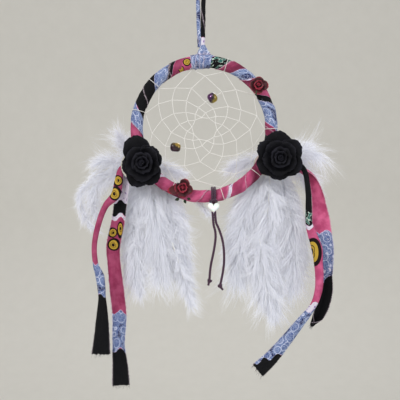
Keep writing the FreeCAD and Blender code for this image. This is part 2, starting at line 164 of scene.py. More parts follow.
def printed_cotton():
    """Torn cotton print: pink, light blue, black and pale areas with outlined edges.

    The cloth attribute is the place on the cloth in mm, zone the print's share of blue,
    black, pale and teal, motif the distance in mm from a ring motif's centre, shade the
    depth of the pink print plus painted shade where the cloth's folds and creases dip in,
    and worn how near a torn edge is."""
    s = Shader("printed_cotton")
    cloth = s.attribute("cloth")
    zone = s.tree.nodes.new("ShaderNodeAttribute")
    zone.attribute_name = "zone"
    split = s.tree.nodes.new("ShaderNodeSeparateColor")
    s.tree.links.new(zone.outputs["Color"], split.inputs[0])
    blue_in, black_in, pale_in = split.outputs
    teal_in = zone.outputs["Alpha"]
    wobble = s.times(s.math("SUBTRACT", s.noise(cloth, 0.16, 2), 0.5), 1.1)

    def area(amount, low, high):
        return s.step(s.plus(amount, wobble), low, high)

    broad = s.noise(cloth, 0.09, 3)
    fine = s.noise(cloth, 0.9, 4, 0.6)
    shade = s.attribute("shade", "Fac")
    pink = s.mix(s.step(broad, 0.35, 0.65), (0.45, 0.062, 0.165), (0.66, 0.135, 0.285))
    # the crimson that shade deepens the pink toward: the print's crimson, plus painted shade in
    # folds and creases
    pink = s.mix(shade, pink, (0.11, 0.012, 0.036))
    pink = s.mix(s.times(s.step(fine, 0.5, 0.75), 0.22), pink, (0.60, 0.14, 0.27))

    spots = s.cells(cloth, 0.15)
    veins = s.cells(cloth, 0.34, "DISTANCE_TO_EDGE")
    blue = s.mix(s.step(broad, 0.3, 0.7), (0.085, 0.125, 0.30), (0.175, 0.24, 0.44))
    scallop = s.times(s.step(spots, 0.50, 0.53), s.inverse(s.step(spots, 0.56, 0.60)))
    vein = s.times(s.inverse(s.step(veins, 0.03, 0.08)), 0.55)
    blue = s.mix(s.step(spots, 0.76, 0.82), blue, (0.022, 0.028, 0.10))
    blue = s.mix(vein, blue, (0.40, 0.46, 0.66))
    blue = s.mix(scallop, blue, (0.60, 0.65, 0.82))
    specks = s.step(s.noise(cloth, 1.1, 1), 0.66, 0.71)
    blue = s.mix(specks, blue, (0.80, 0.84, 0.93))

    pale = s.mix(s.step(s.noise(cloth, 0.35, 2), 0.58, 0.66), (0.70, 0.66, 0.77),
                 (0.24, 0.14, 0.38))
    leaf_field = s.plus(s.noise(cloth, 0.26, 1, 0.4, 0.6),
                        s.times(s.math("SUBTRACT", teal_in, 1.0), 0.6))
    leaves, rims = s.step(leaf_field, 0.555, 0.57), s.step(leaf_field, 0.515, 0.53)
    black = s.mix(s.step(fine, 0.4, 0.7), (0.0030, 0.0030, 0.0045), (0.0080, 0.0085, 0.0100))
    black = s.mix(rims, black, (0.50, 0.62, 0.55))
    black = s.mix(leaves, black, (0.030, 0.125, 0.105))

    colour = s.mix(area(blue_in, 0.36, 0.41), pink, (0.62, 0.60, 0.84))
    colour = s.mix(area(blue_in, 0.50, 0.55), colour, blue)
    colour = s.mix(area(pale_in, 0.50, 0.56), colour, pale)
    colour = s.mix(area(black_in, 0.40, 0.44), colour, (0.42, 0.40, 0.56))
    colour = s.mix(area(black_in, 0.46, 0.50), colour, black)

    ring = s.attribute("motif", "Fac")
    ramp = s.tree.nodes.new("ShaderNodeValToRGB")
    s.tree.links.new(s.times(ring, 0.1), ramp.inputs[0])
    ramp.color_ramp.interpolation = "CONSTANT"
    ink, gold = (0.010, 0.004, 0.006, 1), (0.50, 0.33, 0.045, 1)
    first, second = ramp.color_ramp.elements
    first.position, first.color = 0.0, ink
    second.position, second.color = 0.09, gold
    for place, tint in ((0.18, ink), (0.215, gold), (0.34, ink)):
        ramp.color_ramp.elements.new(place).color = tint
    past_ring = s.step(ring, RING_EDGE, RING_EDGE + 0.3)
    colour = s.mix(s.inverse(past_ring), colour, ramp.outputs[0])

    thready = s.step(s.noise(cloth, 0.8, 3, 0.7), 0.35, 0.6)
    worn = s.times(s.attribute("worn", "Fac"), thready)
    colour = s.mix(s.times(worn, 0.75), colour, (0.74, 0.62, 0.72))
    across = s.split(cloth)
    warp = s.math("SINE", s.times(across[0], TURN / 0.42))
    weft = s.math("SINE", s.times(across[1], TURN / 0.42))
    weave = s.times(s.plus(warp, weft), 0.25)
    height = s.plus(weave, s.times(fine, 1.6))
    rough = s.add("MapRange", {"Value": fine, "To Min": 0.78, "To Max": 0.98})
    return s.surface(Base_Color=colour, Roughness=rough, Specular_IOR_Level=0.18,
                     Normal=s.bump(height, 0.55, 0.00035))


def fibre(name, dark, light, sheen, roughness, specular=0.3):
    """Loose threads and down: each strand has its own tone."""
    s = Shader(name)
    tone = s.attribute("tone", "Fac")
    grain = s.noise(s.object_place(), 900.0, 2)
    share = s.plus(s.times(tone, 0.85), s.times(grain, 0.15))
    return s.surface(Base_Color=s.mix(share, dark, light), Roughness=roughness,
                     Specular_IOR_Level=specular, Sheen_Weight=sheen, Sheen_Roughness=0.6)


def loose_thread():
    """Frayed threads, each in the colour of the cloth it came out of."""
    s = Shader("loose_thread")
    grain = s.noise(s.object_place(), 1200.0, 2)
    tint = s.attribute("tint", "Color")
    colour = s.mix(s.times(grain, 0.35), tint, (0.70, 0.66, 0.72))
    return s.surface(Base_Color=colour, Roughness=0.9, Specular_IOR_Level=0.15)


def foam(name, dark, light, rough=(0.5, 0.85), grain=2600.0, sheen=0.0, edge=None,
         specular=0.2):
    """Fine-celled sheet foam or petal cloth, its rims patched with the edge colour: on the black
    foam a painted highlight, on the maroon petals a brighter crimson edge.
    """
    s = Shader(name)
    where = s.object_place()
    cells = s.cells(where, grain)
    cloud = s.noise(where, 90.0, 4)
    colour = s.mix(s.step(cloud, 0.35, 0.7), dark, light)
    # the edge colour is painted along the rims in patches; on the black foam it is a painted
    # highlight
    if edge:
        rim = s.times(s.attribute("rim", "Fac"), s.step(cloud, 0.3, 0.6))
        colour = s.mix(rim, colour, edge)
    height = s.plus(cells, s.times(s.noise(where, 420.0, 3), 1.5))
    roughness = s.add("MapRange", {"Value": cloud, "To Min": rough[0], "To Max": rough[1]})
    return s.surface(Base_Color=colour, Roughness=roughness, Sheen_Weight=sheen,
                     Specular_IOR_Level=specular, Sheen_Roughness=0.45,
                     Normal=s.bump(height, 0.35, 0.0002))


def spun(name, dark, light, pitch, roughness=0.75, sheen=0.2):
    """Twisted thread or cord; strand is (mm along, turn about the line)."""
    s = Shader(name)
    along = s.split(s.attribute("strand"))
    ply = s.math("SINE", s.plus(s.times(along[0], TURN / pitch), s.times(along[1], 2.0)))
    fuzz = s.noise(s.object_place(), 1500.0, 3)
    share = s.plus(s.times(ply, 0.3), fuzz, clamp=True)
    return s.surface(Base_Color=s.mix(share, dark, light), Roughness=roughness,
                     Sheen_Weight=sheen, Sheen_Roughness=0.5,
                     Normal=s.bump(s.plus(ply, fuzz), 0.5, 0.0002))


def bead_with_painted_sheen(name, left, middle, right, axis, centre):
    """A dark bead with its oil-film sheen painted into its colour, a painted reflection that
    passes from one side to the other.
    """
    s = Shader(name)
    place = s.add("VectorMath", {0: s.object_place(), 1: tuple(-c for c in centre)},
                  operation="ADD")
    side = s.add("VectorMath", {0: place, 1: axis}, output="Value",
                 operation="DOT_PRODUCT")
    stir = s.times(s.math("SUBTRACT", s.noise(place, 320.0, 2), 0.5), 0.006)
    side = s.plus(side, stir)
    # painted sheen: the oil-film reflection's colours laid along the axis, from the left colour
    # to the right
    colour = s.mix(s.step(side, -0.0035, 0.0), left, middle)
    colour = s.mix(s.step(side, 0.0, 0.0035), colour, right)
    return s.surface(Base_Color=colour, Roughness=0.16, Metallic=0.55, Coat_Weight=0.6,
                     Coat_Roughness=0.05)


def pearl():
    s = Shader("pearl_bead")
    where = s.object_place()
    cloud = s.noise(where, 240.0, 3)
    colour = s.mix(s.step(cloud, 0.35, 0.65), (0.80, 0.92, 0.88), (0.90, 0.96, 0.95))
    return s.surface(Base_Color=colour, Roughness=0.22, Subsurface_Weight=0.2,
                     Subsurface_Scale=0.002, Coat_Weight=0.5, Coat_Roughness=0.08,
                     Normal=s.bump(cloud, 0.08, 0.0003))


def clear_glue():
    s = Shader("set_glue")
    lumps = s.noise(s.object_place(), 260.0, 3)
    colour = s.mix(lumps, (0.52, 0.50, 0.44), (0.66, 0.64, 0.58))
    return s.surface(Base_Color=colour, Roughness=0.35, Normal=s.bump(lumps, 0.6, 0.0008))


def bare_cane():
    s = Shader("bare_cane")
    grain = s.noise(s.object_place(), 500.0, 5, 0.7)
    colour = s.mix(grain, (0.33, 0.22, 0.12), (0.55, 0.41, 0.24))
    return s.surface(Base_Color=colour, Roughness=0.6, Normal=s.bump(grain, 0.4, 0.0004))


STAGE = stage_material()
COTTON = printed_cotton()
DOWN = fibre("white_down", (0.70, 0.725, 0.84), (0.93, 0.945, 1.0), 0.35, 0.85, 0.25)
QUILL = fibre("quill", (0.72, 0.70, 0.66), (0.86, 0.85, 0.82), 0.0, 0.45)
LOOSE = loose_thread()
# painted highlight: the paler edge colour along the black petals' rims
FOAM = foam("black_foam", (0.0016, 0.0016, 0.0030), (0.0040, 0.0040, 0.0066),
            (0.50, 0.80), edge=(0.013, 0.013, 0.020), specular=0.12)
MAROON = foam("maroon_petal", (0.020, 0.0006, 0.0028), (0.068, 0.0014, 0.007), (0.32, 0.6),
              1800.0, 0.08, edge=(0.40, 0.012, 0.045), specular=0.35)
LEAF = foam("leaf_cloth", (0.012, 0.022, 0.012), (0.04, 0.06, 0.03))
THREAD = spun("white_thread", (0.74, 0.73, 0.70), (0.96, 0.95, 0.93), 1.6, 0.6, 0.1)
PLUM = spun("plum_cord", (0.020, 0.004, 0.018), (0.060, 0.014, 0.048), 2.4)
PEARL = pearl()
GLUE = clear_glue()
CANE = bare_cane()
UPPER_BEAD_PAINTED_SHEEN = bead_with_painted_sheen("upper_bead_painted_sheen", (0.085, 0.012, 0.10), (0.02, 0.008, 0.02),
                         (0.36, 0.27, 0.03), (0.95, 0, -0.3), (0.01187, 0, -0.11188))
LOWER_BEAD_PAINTED_SHEEN = bead_with_painted_sheen("lower_bead_painted_sheen", (0.04, 0.012, 0.03), (0.025, 0.012, 0.008),
                         (0.34, 0.22, 0.03), (0.6, 0, 0.8), (-0.02503, 0, -0.16125))


# ---------------------------------------------------------------- meshes
FIELDS = {"FLOAT": (1, "value"), "FLOAT_VECTOR": (3, "vector"), "FLOAT_COLOR": (4, "color")}
ATTRIBUTE_KINDS = {"cloth": "FLOAT_VECTOR", "strand": "FLOAT_VECTOR", "zone": "FLOAT_COLOR",
                   "tint": "FLOAT_COLOR"}


def smooth_mesh(name, points_m, faces):
    mesh = bpy.data.meshes.new(name)
    mesh.from_pydata(np.asarray(points_m).tolist(), [], faces)
    mesh.polygons.foreach_set("use_smooth", [True] * len(mesh.polygons))
    return mesh


def add_piece(name, points_mm, faces, material, body, slot, replaces=(), **attributes):
    """A smooth-shaded mesh in the row frame that rides on a body, with values per point."""
    mesh = smooth_mesh(name, np.asarray(points_mm, float).reshape(-1, 3) * MM, faces)
    for key, values in attributes.items():
        kind = ATTRIBUTE_KINDS.get(key, "FLOAT")
        width, field = FIELDS[kind]
        layer = mesh.attributes.new(key, kind, "POINT")
        layer.data.foreach_set(
            field, np.asarray(values, np.float32).reshape(-1, width).ravel())
    mesh.materials.append(material)
    mesh.update()
    obj = new_object(name, mesh)
    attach(obj, body)
    if replaces:
        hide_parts(*replaces)
    return obj


def grid_faces(rows, columns, close_columns=False):
    """Quads of a rows by columns lattice of points, numbered row by row."""
    r = np.arange(rows - 1)
    c = np.arange(columns if close_columns else columns - 1)
    r, c = (a.ravel() for a in np.meshgrid(r, c, indexing="ij"))
    r2, c2 = r + 1, (c + 1) % columns
    return np.stack([r * columns + c, r * columns + c2, r2 * columns + c2,
                     r2 * columns + c], axis=1).tolist()


def capped_faces(rows, columns):
    """The quads of a lattice that closes round its columns, and a face at either end."""
    last = (rows - 1) * columns
    return grid_faces(rows, columns, close_columns=True) + [
        list(range(columns))[::-1], list(range(last, last + columns))]


def modify(obj, kind, **settings):
    modifier = obj.modifiers.new(kind.lower(), kind)
    for key, value in settings.items():
        setattr(modifier, key, value)


def run_along(points):
    """The distance along the points, from the first to each."""
    return np.concatenate([[0], np.cumsum(np.linalg.norm(np.diff(points, axis=0), axis=1))])


def round_turn(sides):
    return np.linspace(0, TURN, sides, endpoint=False)


def evenly(points, count):
    """count places at even spacing along the points."""
    run = run_along(points)
    where = np.linspace(0, run[-1], count)
    return np.stack([np.interp(where, run, column) for column in points.T], 1)


def smooth_line(points, count):
    """count points at even spacing on a Catmull-Rom curve through points."""
    p = np.asarray(points, float)
    ends = np.vstack([2 * p[0] - p[1], p, 2 * p[-1] - p[-2]])
    t = np.linspace(0, 1, 24, endpoint=False)[:, None]
    spans = [0.5 * (2 * b + (c - a) * t + (2 * a - 5 * b + 4 * c - d) * t**2
                    + (3 * b - a - 3 * c + d) * t**3)
             for a, b, c, d in zip(ends, ends[1:], ends[2:], ends[3:])]
    return evenly(np.vstack(spans + [p[-1:]]), count)


def along_points(values, line, points):
    """values given at points, carried to each place of line by its share of the length."""
    run, marks = run_along(line), run_along(points)
    return np.interp(run / run[-1], marks / marks[-1], values)


def unit(v):
    return v / np.maximum(np.linalg.norm(v, axis=-1, keepdims=True), 1e-9)


def frames(line):
    """Tangent, side and normal along a line; the normal is as near the viewer as it can be."""
    tangent = unit(np.gradient(line, axis=0))
    side = unit(np.cross(tangent, TO_VIEWER))
    return tangent, side, np.cross(side, tangent)


def tube(line, radii, sides):
    """Ring points round a line, and the lattice's faces with closed ends."""
    _, side, normal = frames(line)
    turn = round_turn(sides)
    radii = np.broadcast_to(np.asarray(radii, float), len(line))[:, None]
    points = (line[:, None, :]
              + (radii * np.cos(turn))[..., None] * side[:, None, :]
              + (radii * np.sin(turn))[..., None] * normal[:, None, :])
    run = run_along(line)
    strand = np.stack(np.broadcast_arrays(run[:, None], turn[None, :], 0.0), axis=-1)
    return points.reshape(-1, 3), capped_faces(len(line), sides), strand.reshape(-1, 3)


def join_parts(parts):
    """Several (points, faces, ...values) as one."""
    points, faces, extras, start = [], [], [], 0
    for part in parts:
        points.append(part[0])
        faces += [[i + start for i in face] for face in part[1]]
        extras.append(part[2:])
        start += len(part[0])
    return (np.vstack(points), faces,
            *[np.concatenate(list(column)) for column in zip(*extras)])


def rough(points, scale, seed):
    """Smooth noise from -1 to 1 at points in mm."""
    shift = Vector((seed * 7.3, seed * 3.1, seed * 5.7))
    return np.array([noise.noise(Vector(p) * scale + shift) for p in points])


def rough_over(x, y, z, seed, scale=1.0):
    """rough at arrays of coordinates, in their shape."""
    places = np.stack([x.ravel(), y.ravel(), z.ravel()], 1)
    return rough(places, scale, seed).reshape(x.shape)


def between(value, low, high):
    """0 up to low, 1 from high on, and straight between."""
    return np.clip((value - low) / (high - low), 0, 1)


def lattice(rows, columns, low=-1):
    """u from low to 1 down the rows and v from 0 to 1 along the columns."""
    return np.meshgrid(np.linspace(low, 1, rows), np.linspace(0, 1, columns), indexing="ij")


def soften(prints):
    """Blend each row of the prints into its neighbours, in place."""
    prints[1:-1] = (prints[:-2] + 2 * prints[1:-1] + prints[2:]) / 4


# ---------------------------------------------------------------- cloth prints
# each print's shares of blue, black, pale and teal and the depth of its pink, then the
# colour of the threads that fray from it
PRINT_LOOKS = {
    "pink": ((0, 0, 0, 0, 0.28), (0.6, 0.1, 0.22)),
    "bright": ((0, 0, 0, 0, 0.02), (0.66, 0.14, 0.27)),
    "deep": ((0, 0, 0, 0, 0.46), (0.4, 0.06, 0.13)),
    "light": ((1, 0, 0.4, 0, 0), (0.45, 0.5, 0.74)),
    "crimson": ((0, 0, 0, 0, 0.75), (0.3, 0.02, 0.06)),
    "blue": ((1, 0, 0, 0, 0), (0.3, 0.38, 0.66)),
    "black": ((0, 1, 0, 0, 0), (0.008, 0.008, 0.01)),
    "teal": ((0, 1, 0, 1, 0), (0.01, 0.02, 0.02)),
    "pale": ((0.3, 0, 1, 0, 0), (0.7, 0.66, 0.78)),
    "purple": ((0, 0.3, 1, 0, 0.5), (0.3, 0.2, 0.42)),
}
PRINTS = {kind: look[0] for kind, look in PRINT_LOOKS.items()}
THREAD_TINTS = {kind: look[1] for kind, look in PRINT_LOOKS.items()}
NO_MOTIF = 99.0  # too far from any ring motif to show one
FRAYED_SHARE = 0.55  # of the rows along a torn edge
FRAY_CURL, FRAY_DROOP = 0.45, 0.15


def cloth_piece(name, body, slot, nodes, points, faces, cloth, prints, motif, worn,
                thickness=0.35):
    obj = add_piece(name, points, faces, COTTON, body, slot, nodes,
                    cloth=cloth, zone=prints[..., :4], shade=prints[..., 4],
                    motif=motif, worn=worn)
    if thickness:
        modify(obj, "SOLIDIFY", thickness=thickness * MM, offset=-1)
    return obj


def ribbons(lines, widths, rng, facing):
    """Thin ribbons along each row of lines (count, steps, 3), turned at random, or
    nearer to facing the viewer as facing goes to 1."""
    count, steps, _ = lines.shape
    tangent = unit(np.gradient(lines, axis=1))
    turn = unit(unit(rng.standard_normal((count, 1, 3))) * (1 - facing)
                + np.array([0, -facing, 0]))
    across = unit(np.cross(tangent, turn)) * (widths[..., None] / 2)
    points = np.stack([lines - across, lines + across], axis=2)
    one = np.arange(steps - 1)[:, None] * 2 + np.array([0, 1, 3, 2])
    faces = (one[None] + (np.arange(count) * steps * 2)[:, None, None]).reshape(-1, 4)
    return points.reshape(-1, 3), faces.tolist()


def grow(start, heading, reach, steps, turn, droop):
    """Lines from start along heading, which turns and droops at each of the steps."""
    line = [start]
    for _ in range(steps - 1):
        line.append(line[-1] + heading * (reach / (steps - 1))[:, None])
        heading = unit(heading + turn + np.array([0, 0, -droop]))
    return np.stack(line, axis=1)


def frays(name, body, slot, starts, headings, tints, lengths, rng, width=0.16):
    """Loose threads from starts along headings, one tint each."""
    count, steps = len(starts), 6
    heading = unit(headings + 0.35 * rng.standard_normal((count, 3)))
    turn = FRAY_CURL * rng.standard_normal((count, 3))
    lines = grow(starts, heading, lengths, steps, turn / steps, FRAY_DROOP)
    widths = width * np.broadcast_to(np.linspace(1, 0.45, steps), (count, steps))
    points, faces = ribbons(lines, widths, rng, 0.3)
    colour = np.concatenate([np.repeat(tints, steps * 2, axis=0),
                             np.ones((count * steps * 2, 1))], axis=1)
    add_piece(name, points, faces, LOOSE, body, slot, tint=colour)


# ---------------------------------------------------------------- the hoop's cloth wrap
# Seams of the wrap where they cross the front, in degrees counter-clockwise from +X, and
# the print's areas by the angle where each begins.  Both run clockwise from the tie.
SEAMS = [122, 98, 71, 47, 23, -2, -27, -52, -69, -91, -117, -146, -181, -209, -239, -262,
         -286]
WRAP_AREAS = [
    (123, "black"), (117, "crimson"), (109, "pink"), (96, "blue"), (86.5, "teal"),
    (71, "crimson"), (59, "blue"), (46, "crimson"), (35, "pink"), (29, "black"),
    (22.5, "blue"), (2, "crimson"), (-10, "black"), (-24, "crimson"), (-46, "pink"),
    (-66, "pale"), (-70, "pink"), (-89, "pale"), (-92, "pink"), (-104, "crimson"),
    (-117, "pink"), (-134, "pale"), (-138, "crimson"), (-160, "pink"), (-180, "blue"),
    (-196, "black"), (-223, "blue"), (-239, "black"), (-243, "crimson"), (-252, "pink"),
    (-264, "blue"), (-274, "teal"),
]
ROWS_A_TURN = 56
MM_A_DEGREE = 1.18  # along the middle of the hoop's tube
WRAP_R = 6.2  # from the middle of the tube to the wrap's face, on average


def on_hoop(angle, radius):
    """Points in the hoop's plane at an angle in degrees and a radius from its centre."""
    turn = np.radians(angle)
    return np.stack([HOOP_X + radius * np.cos(turn), 0 * turn,
                     HOOP_Z + radius * np.sin(turn)], -1)


def area_shares(angle, areas, blur):
    """The print at each angle, passing from one area to the next over blur degrees."""
    starts = np.array([a[0] for a in areas], float)
    kinds = np.array([PRINTS[a[1]] for a in areas], float)
    shares = np.broadcast_to(kinds[0], angle.shape + (5,)).copy()
    for start, before, after in zip(starts[1:], kinds, kinds[1:]):
        passed = np.clip((start - angle) / blur + 0.5, 0, 1)[..., None]
        shares += passed * (after - before)
    return shares


def wound_strip(name, seams, inner, proud, overlap, seed, nodes, areas, columns=25,
                crease=0.34, span=None, rings=()):
    """A cloth strip wound round the hoop, each turn's leading edge over the last one."""
    count = (len(seams) - 1) * ROWS_A_TURN + 1
    s = np.linspace(0, len(seams) - 1, count)
    if span:
        s = s[(s >= span[0]) & (s <= span[1])]
        count = len(s)
    marks = np.arange(len(seams))
    lead = np.interp(s, marks + 0.5, seams)
    pitch = np.abs(np.interp(s, marks[:-1] + 1.0, np.diff(seams)))
    v = np.linspace(0, 1, columns)
    s2, v2 = np.meshgrid(s, v, indexing="ij")
    angle = lead[:, None] - v2 * pitch[:, None] * overlap
    turn = TURN * (s2 - 0.25)
    folds = rough_over(s2 * 2.5, v2 * 10.8, s2 * 0, seed, 0.5)
    folds += 0.6 * rough_over(s2 * 4.0, v2 * 21.6, s2 * 0, seed + 3, 0.5)
    radius = inner + proud * (1 - v2) ** 1.5 + crease * folds
    ragged = rough_over(s * 19, s * 0, s * 0, seed + 5)
    angle = angle + 0.55 * ragged[:, None] * (1 - v2) ** 6
    ring = np.radians(angle)
    out = RING_R - radius * np.cos(turn)
    points = np.stack([HOOP_X + out * np.cos(ring), -radius * np.sin(turn),
                       HOOP_Z + out * np.sin(ring)], axis=-1)
    slant = pitch[:, None] * (turn / TURN - np.round(turn / TURN - 0.25) - 0.25)
    front = np.clip(angle + slant, lead[:, None] + slant - pitch[:, None] + 1.4,
                    lead[:, None] + slant - 1.4)
    prints = area_shares(front, areas, 2.6)
    # painted shade: the pink is deepened where the folds dip in, darkening the wrap's creases
    prints[..., 4] = np.clip(prints[..., 4] - 0.35 * folds, 0, 1)
    motif = np.full(s2.shape, NO_MOTIF)
    for mark, lateral, size in rings:
        along = (angle - mark) * MM_A_DEGREE
        side = -np.cos(turn) * WRAP_R - lateral
        away = np.hypot(along, side) * size + np.where(np.sin(turn) > 0, 0, NO_MOTIF)
        motif = np.minimum(motif, away)
    cloth = np.stack([s2 * 41, v2 * pitch[:, None] * overlap * MM_A_DEGREE, s2 * 0], axis=-1)
    worn = np.clip(1 - cloth[..., 1] / 1.3, 0, 1)
    cloth_piece(name, "hoop", "wrap_cloth", nodes, points, grid_faces(count, columns),
                cloth, prints, motif, worn)
    rng = np.random.default_rng(seed)
    pick = rng.random(count) < FRAYED_SHARE
    outward = unit(points[:, 0] - on_hoop(angle[:, 0], RING_R))
    forward = np.stack([-np.sin(ring[:, 0]), 0 * s, np.cos(ring[:, 0])], 1)
    heading = forward * 1.2 + outward * 0.5
    kinds = nearest_kinds(prints[:, 0])
    tints = np.array([THREAD_TINTS[k] for k in kinds]) * 0.5 + 0.30
    frays(name + "_frays", "hoop", "wrap_cloth", points[pick, 0], heading[pick],
          tints[pick], rng.uniform(0.5, 2.6, pick.sum()), rng, width=0.12)


def nearest_kinds(prints):
    names = list(PRINTS)
    table = np.array([PRINTS[n] for n in names], float)
    return [names[int(i)] for i in
            np.argmin(((prints[:, None, :] - table[None]) ** 2).sum(-1), axis=1)]


# Ring motifs on the wrap: hoop angle, mm outwards from the tube's middle, and scale
WRAP_RINGS = [(104.5, 0.5, 1.15), (111, -4.5, 1.5)]
wound_strip("wrap", SEAMS, 5.75, 0.8, 1.3, 1, ["hoop_wrap"], WRAP_AREAS, rings=WRAP_RINGS)
wound_strip("tie_band_cloth", [101, 97.5, 94, 90.5, 87], 6.75, 0.75, 1.9, 7, ["tie_band"],
            [(130, "blue"), (0, "blue")], columns=9, crease=0.5, span=(0.3, 4.0))


# ---------------------------------------------------------------- cloth strips
CLOTH_WIDTH = 18.0
ROW_STEP = 0.8  # mm along a strip from one row of points to the next
RAGGED_END = 1.2
END_THREADS = 46
WIDEST_SHARE = 0.985  # of the cloth's width that a strip shows before it is stretched


def curl_half_angle(share):
    """Half the angle that a strip curls through to show this share of its width."""
    if share < 2 / math.pi:
        return 1 / share
    low, high = 0.01, math.pi / 2
    for _ in range(30):
        middle = (low + high) / 2
        low, high = (middle, high) if math.sin(middle) / middle > share else (low, middle)
    return low


def zone_at(zones, point, lobes):
    """The print at a point: the first zone whose lower edge is below it."""
    x, _, z = point
    for kind, lower, slope in zones:
        if z > lower + slope * x + 2.2 * math.cos(x * lobes):
            return kind
    return zones[-1][0]


def ring_distance(points, rings):
    """Distance from each eccentric ring motif (x, z, size, lean in degrees, tallness)."""
    motif = np.full(points.shape[:-1], NO_MOTIF)
    for x, z, size, lean, tall in rings:
        dx, dz = points[..., 0] - x, (points[..., 2] - z) / tall
        away = np.hypot(dx, dz) * RING_EDGE / size
        toward = np.cos(np.arctan2(dz, dx) - math.radians(lean))
        motif = np.minimum(motif, away + 0.9 * toward * np.clip(1 - away / 4.4, 0, 1) * 2)
    return motif


def hanging_strip(name, node, centre, widths, depth, zones, rings, bulge, seed,
                  length_mm, lobes):
    """A torn strip, curled in along its length where it shows narrow from the front."""
    rows, columns = int(length_mm / ROW_STEP), 25
    line2 = smooth_line(centre, rows)
    width = along_points(widths, line2, centre)
    drift = along_points(depth, line2, centre)
    line = np.stack([line2[:, 0], drift, line2[:, 1]], axis=1)
    tangent, side, normal = frames(line)
    share = 2 * width / CLOTH_WIDTH
    half = np.array([curl_half_angle(min(c, WIDEST_SHARE)) for c in share])
    scale = np.maximum(share / WIDEST_SHARE, 1)[:, None]
    v = np.linspace(-1, 1, columns)
    bend = half[:, None] * v[None, :]
    radius = (CLOTH_WIDTH / (2 * half))[:, None] * (1 - 0.05 * bend)
    x = radius * np.sin(bend) * scale
    rolled = between(half, 1.2, 2.0)[:, None]
    d = bulge * radius * (np.cos(bend) - np.cos(half)[:, None] * 0.5 - 0.5)
    d = d * (1 - 0.08 * rolled)
    down = np.arange(rows)[:, None] * ROW_STEP * np.ones(columns)
    flat = np.stack([down, v * CLOTH_WIDTH / 2 * np.ones((rows, 1)), 0 * down], -1)
    crease = (0.65 * rough(flat.reshape(-1, 3) * (0.45, 2.2, 1), 0.09, seed)
              + 0.40 * rough(flat.reshape(-1, 3) * (0.8, 3.0, 1), 0.22, seed + 2)
              + 0.18 * rough(flat.reshape(-1, 3) * (1.4, 3.0, 1), 0.5, seed + 4))
    crease = crease.reshape(rows, columns)
    d = d + crease
    torn = rough_over(down[:, 0], down[:, 0] * 0, down[:, 0] * 0, seed + 6, 0.6)
    x = x + 0.35 * torn[:, None] * np.sign(v) * np.abs(v) ** 8
    points = (line[:, None, :] + x[..., None] * side[:, None, :]
              + d[..., None] * normal[:, None, :])
    ragged = rough_over(v * 9, v * 0, v * 0 + seed, seed, 0.9) * RAGGED_END
    points[-1] += tangent[-1] * ragged[:, None]
    points[-2] += tangent[-2] * ragged[:, None] * 0.6
    kinds = np.array([[zone_at(zones, p, lobes) for p in row] for row in points])
    prints = np.zeros((rows, columns, 5))
    for kind in PRINTS:
        prints[kinds == kind] = PRINTS[kind]
    for _ in range(2):
        soften(prints)
        soften(prints.swapaxes(0, 1))
    # painted shade: the pink is deepened where the creases fall back from the front
    prints[..., 4] = np.clip(prints[..., 4] - 0.25 * crease, 0, 1)
    worn = between(np.abs(v), 0.90, 1) * np.ones((rows, 1)) * 0.8
    obj = cloth_piece(name, name, "strip_cloth", [node], points,
                      grid_faces(rows, columns), flat, prints, ring_distance(points, rings),
                      worn)
    rng = np.random.default_rng(seed)
    starts, headings, tints, lengths = [], [], [], []
    for column, sign in ((0, -1.0), (columns - 1, 1.0)):
        pick = rng.random(rows) < FRAYED_SHARE
        starts.append(points[pick, column])
        headings.append(side[pick] * sign * 0.8 + tangent[pick] * 0.7)
        tints.append(np.array([THREAD_TINTS[k] for k in kinds[pick, column]]))
        lengths.append(rng.uniform(0.5, 2.4, pick.sum()))
    ends = rng.integers(0, columns, END_THREADS)
    starts.append(points[-1, ends])
    headings.append(np.repeat(tangent[-1:], END_THREADS, axis=0))
    tints.append(np.array([THREAD_TINTS[k] for k in kinds[-1, ends]]))
    lengths.append(rng.uniform(0.8, 4.5, END_THREADS))
    frays(name + "_frays", name, "strip_cloth", np.concatenate(starts),
          np.concatenate(headings), np.concatenate(tints), np.concatenate(lengths), rng)


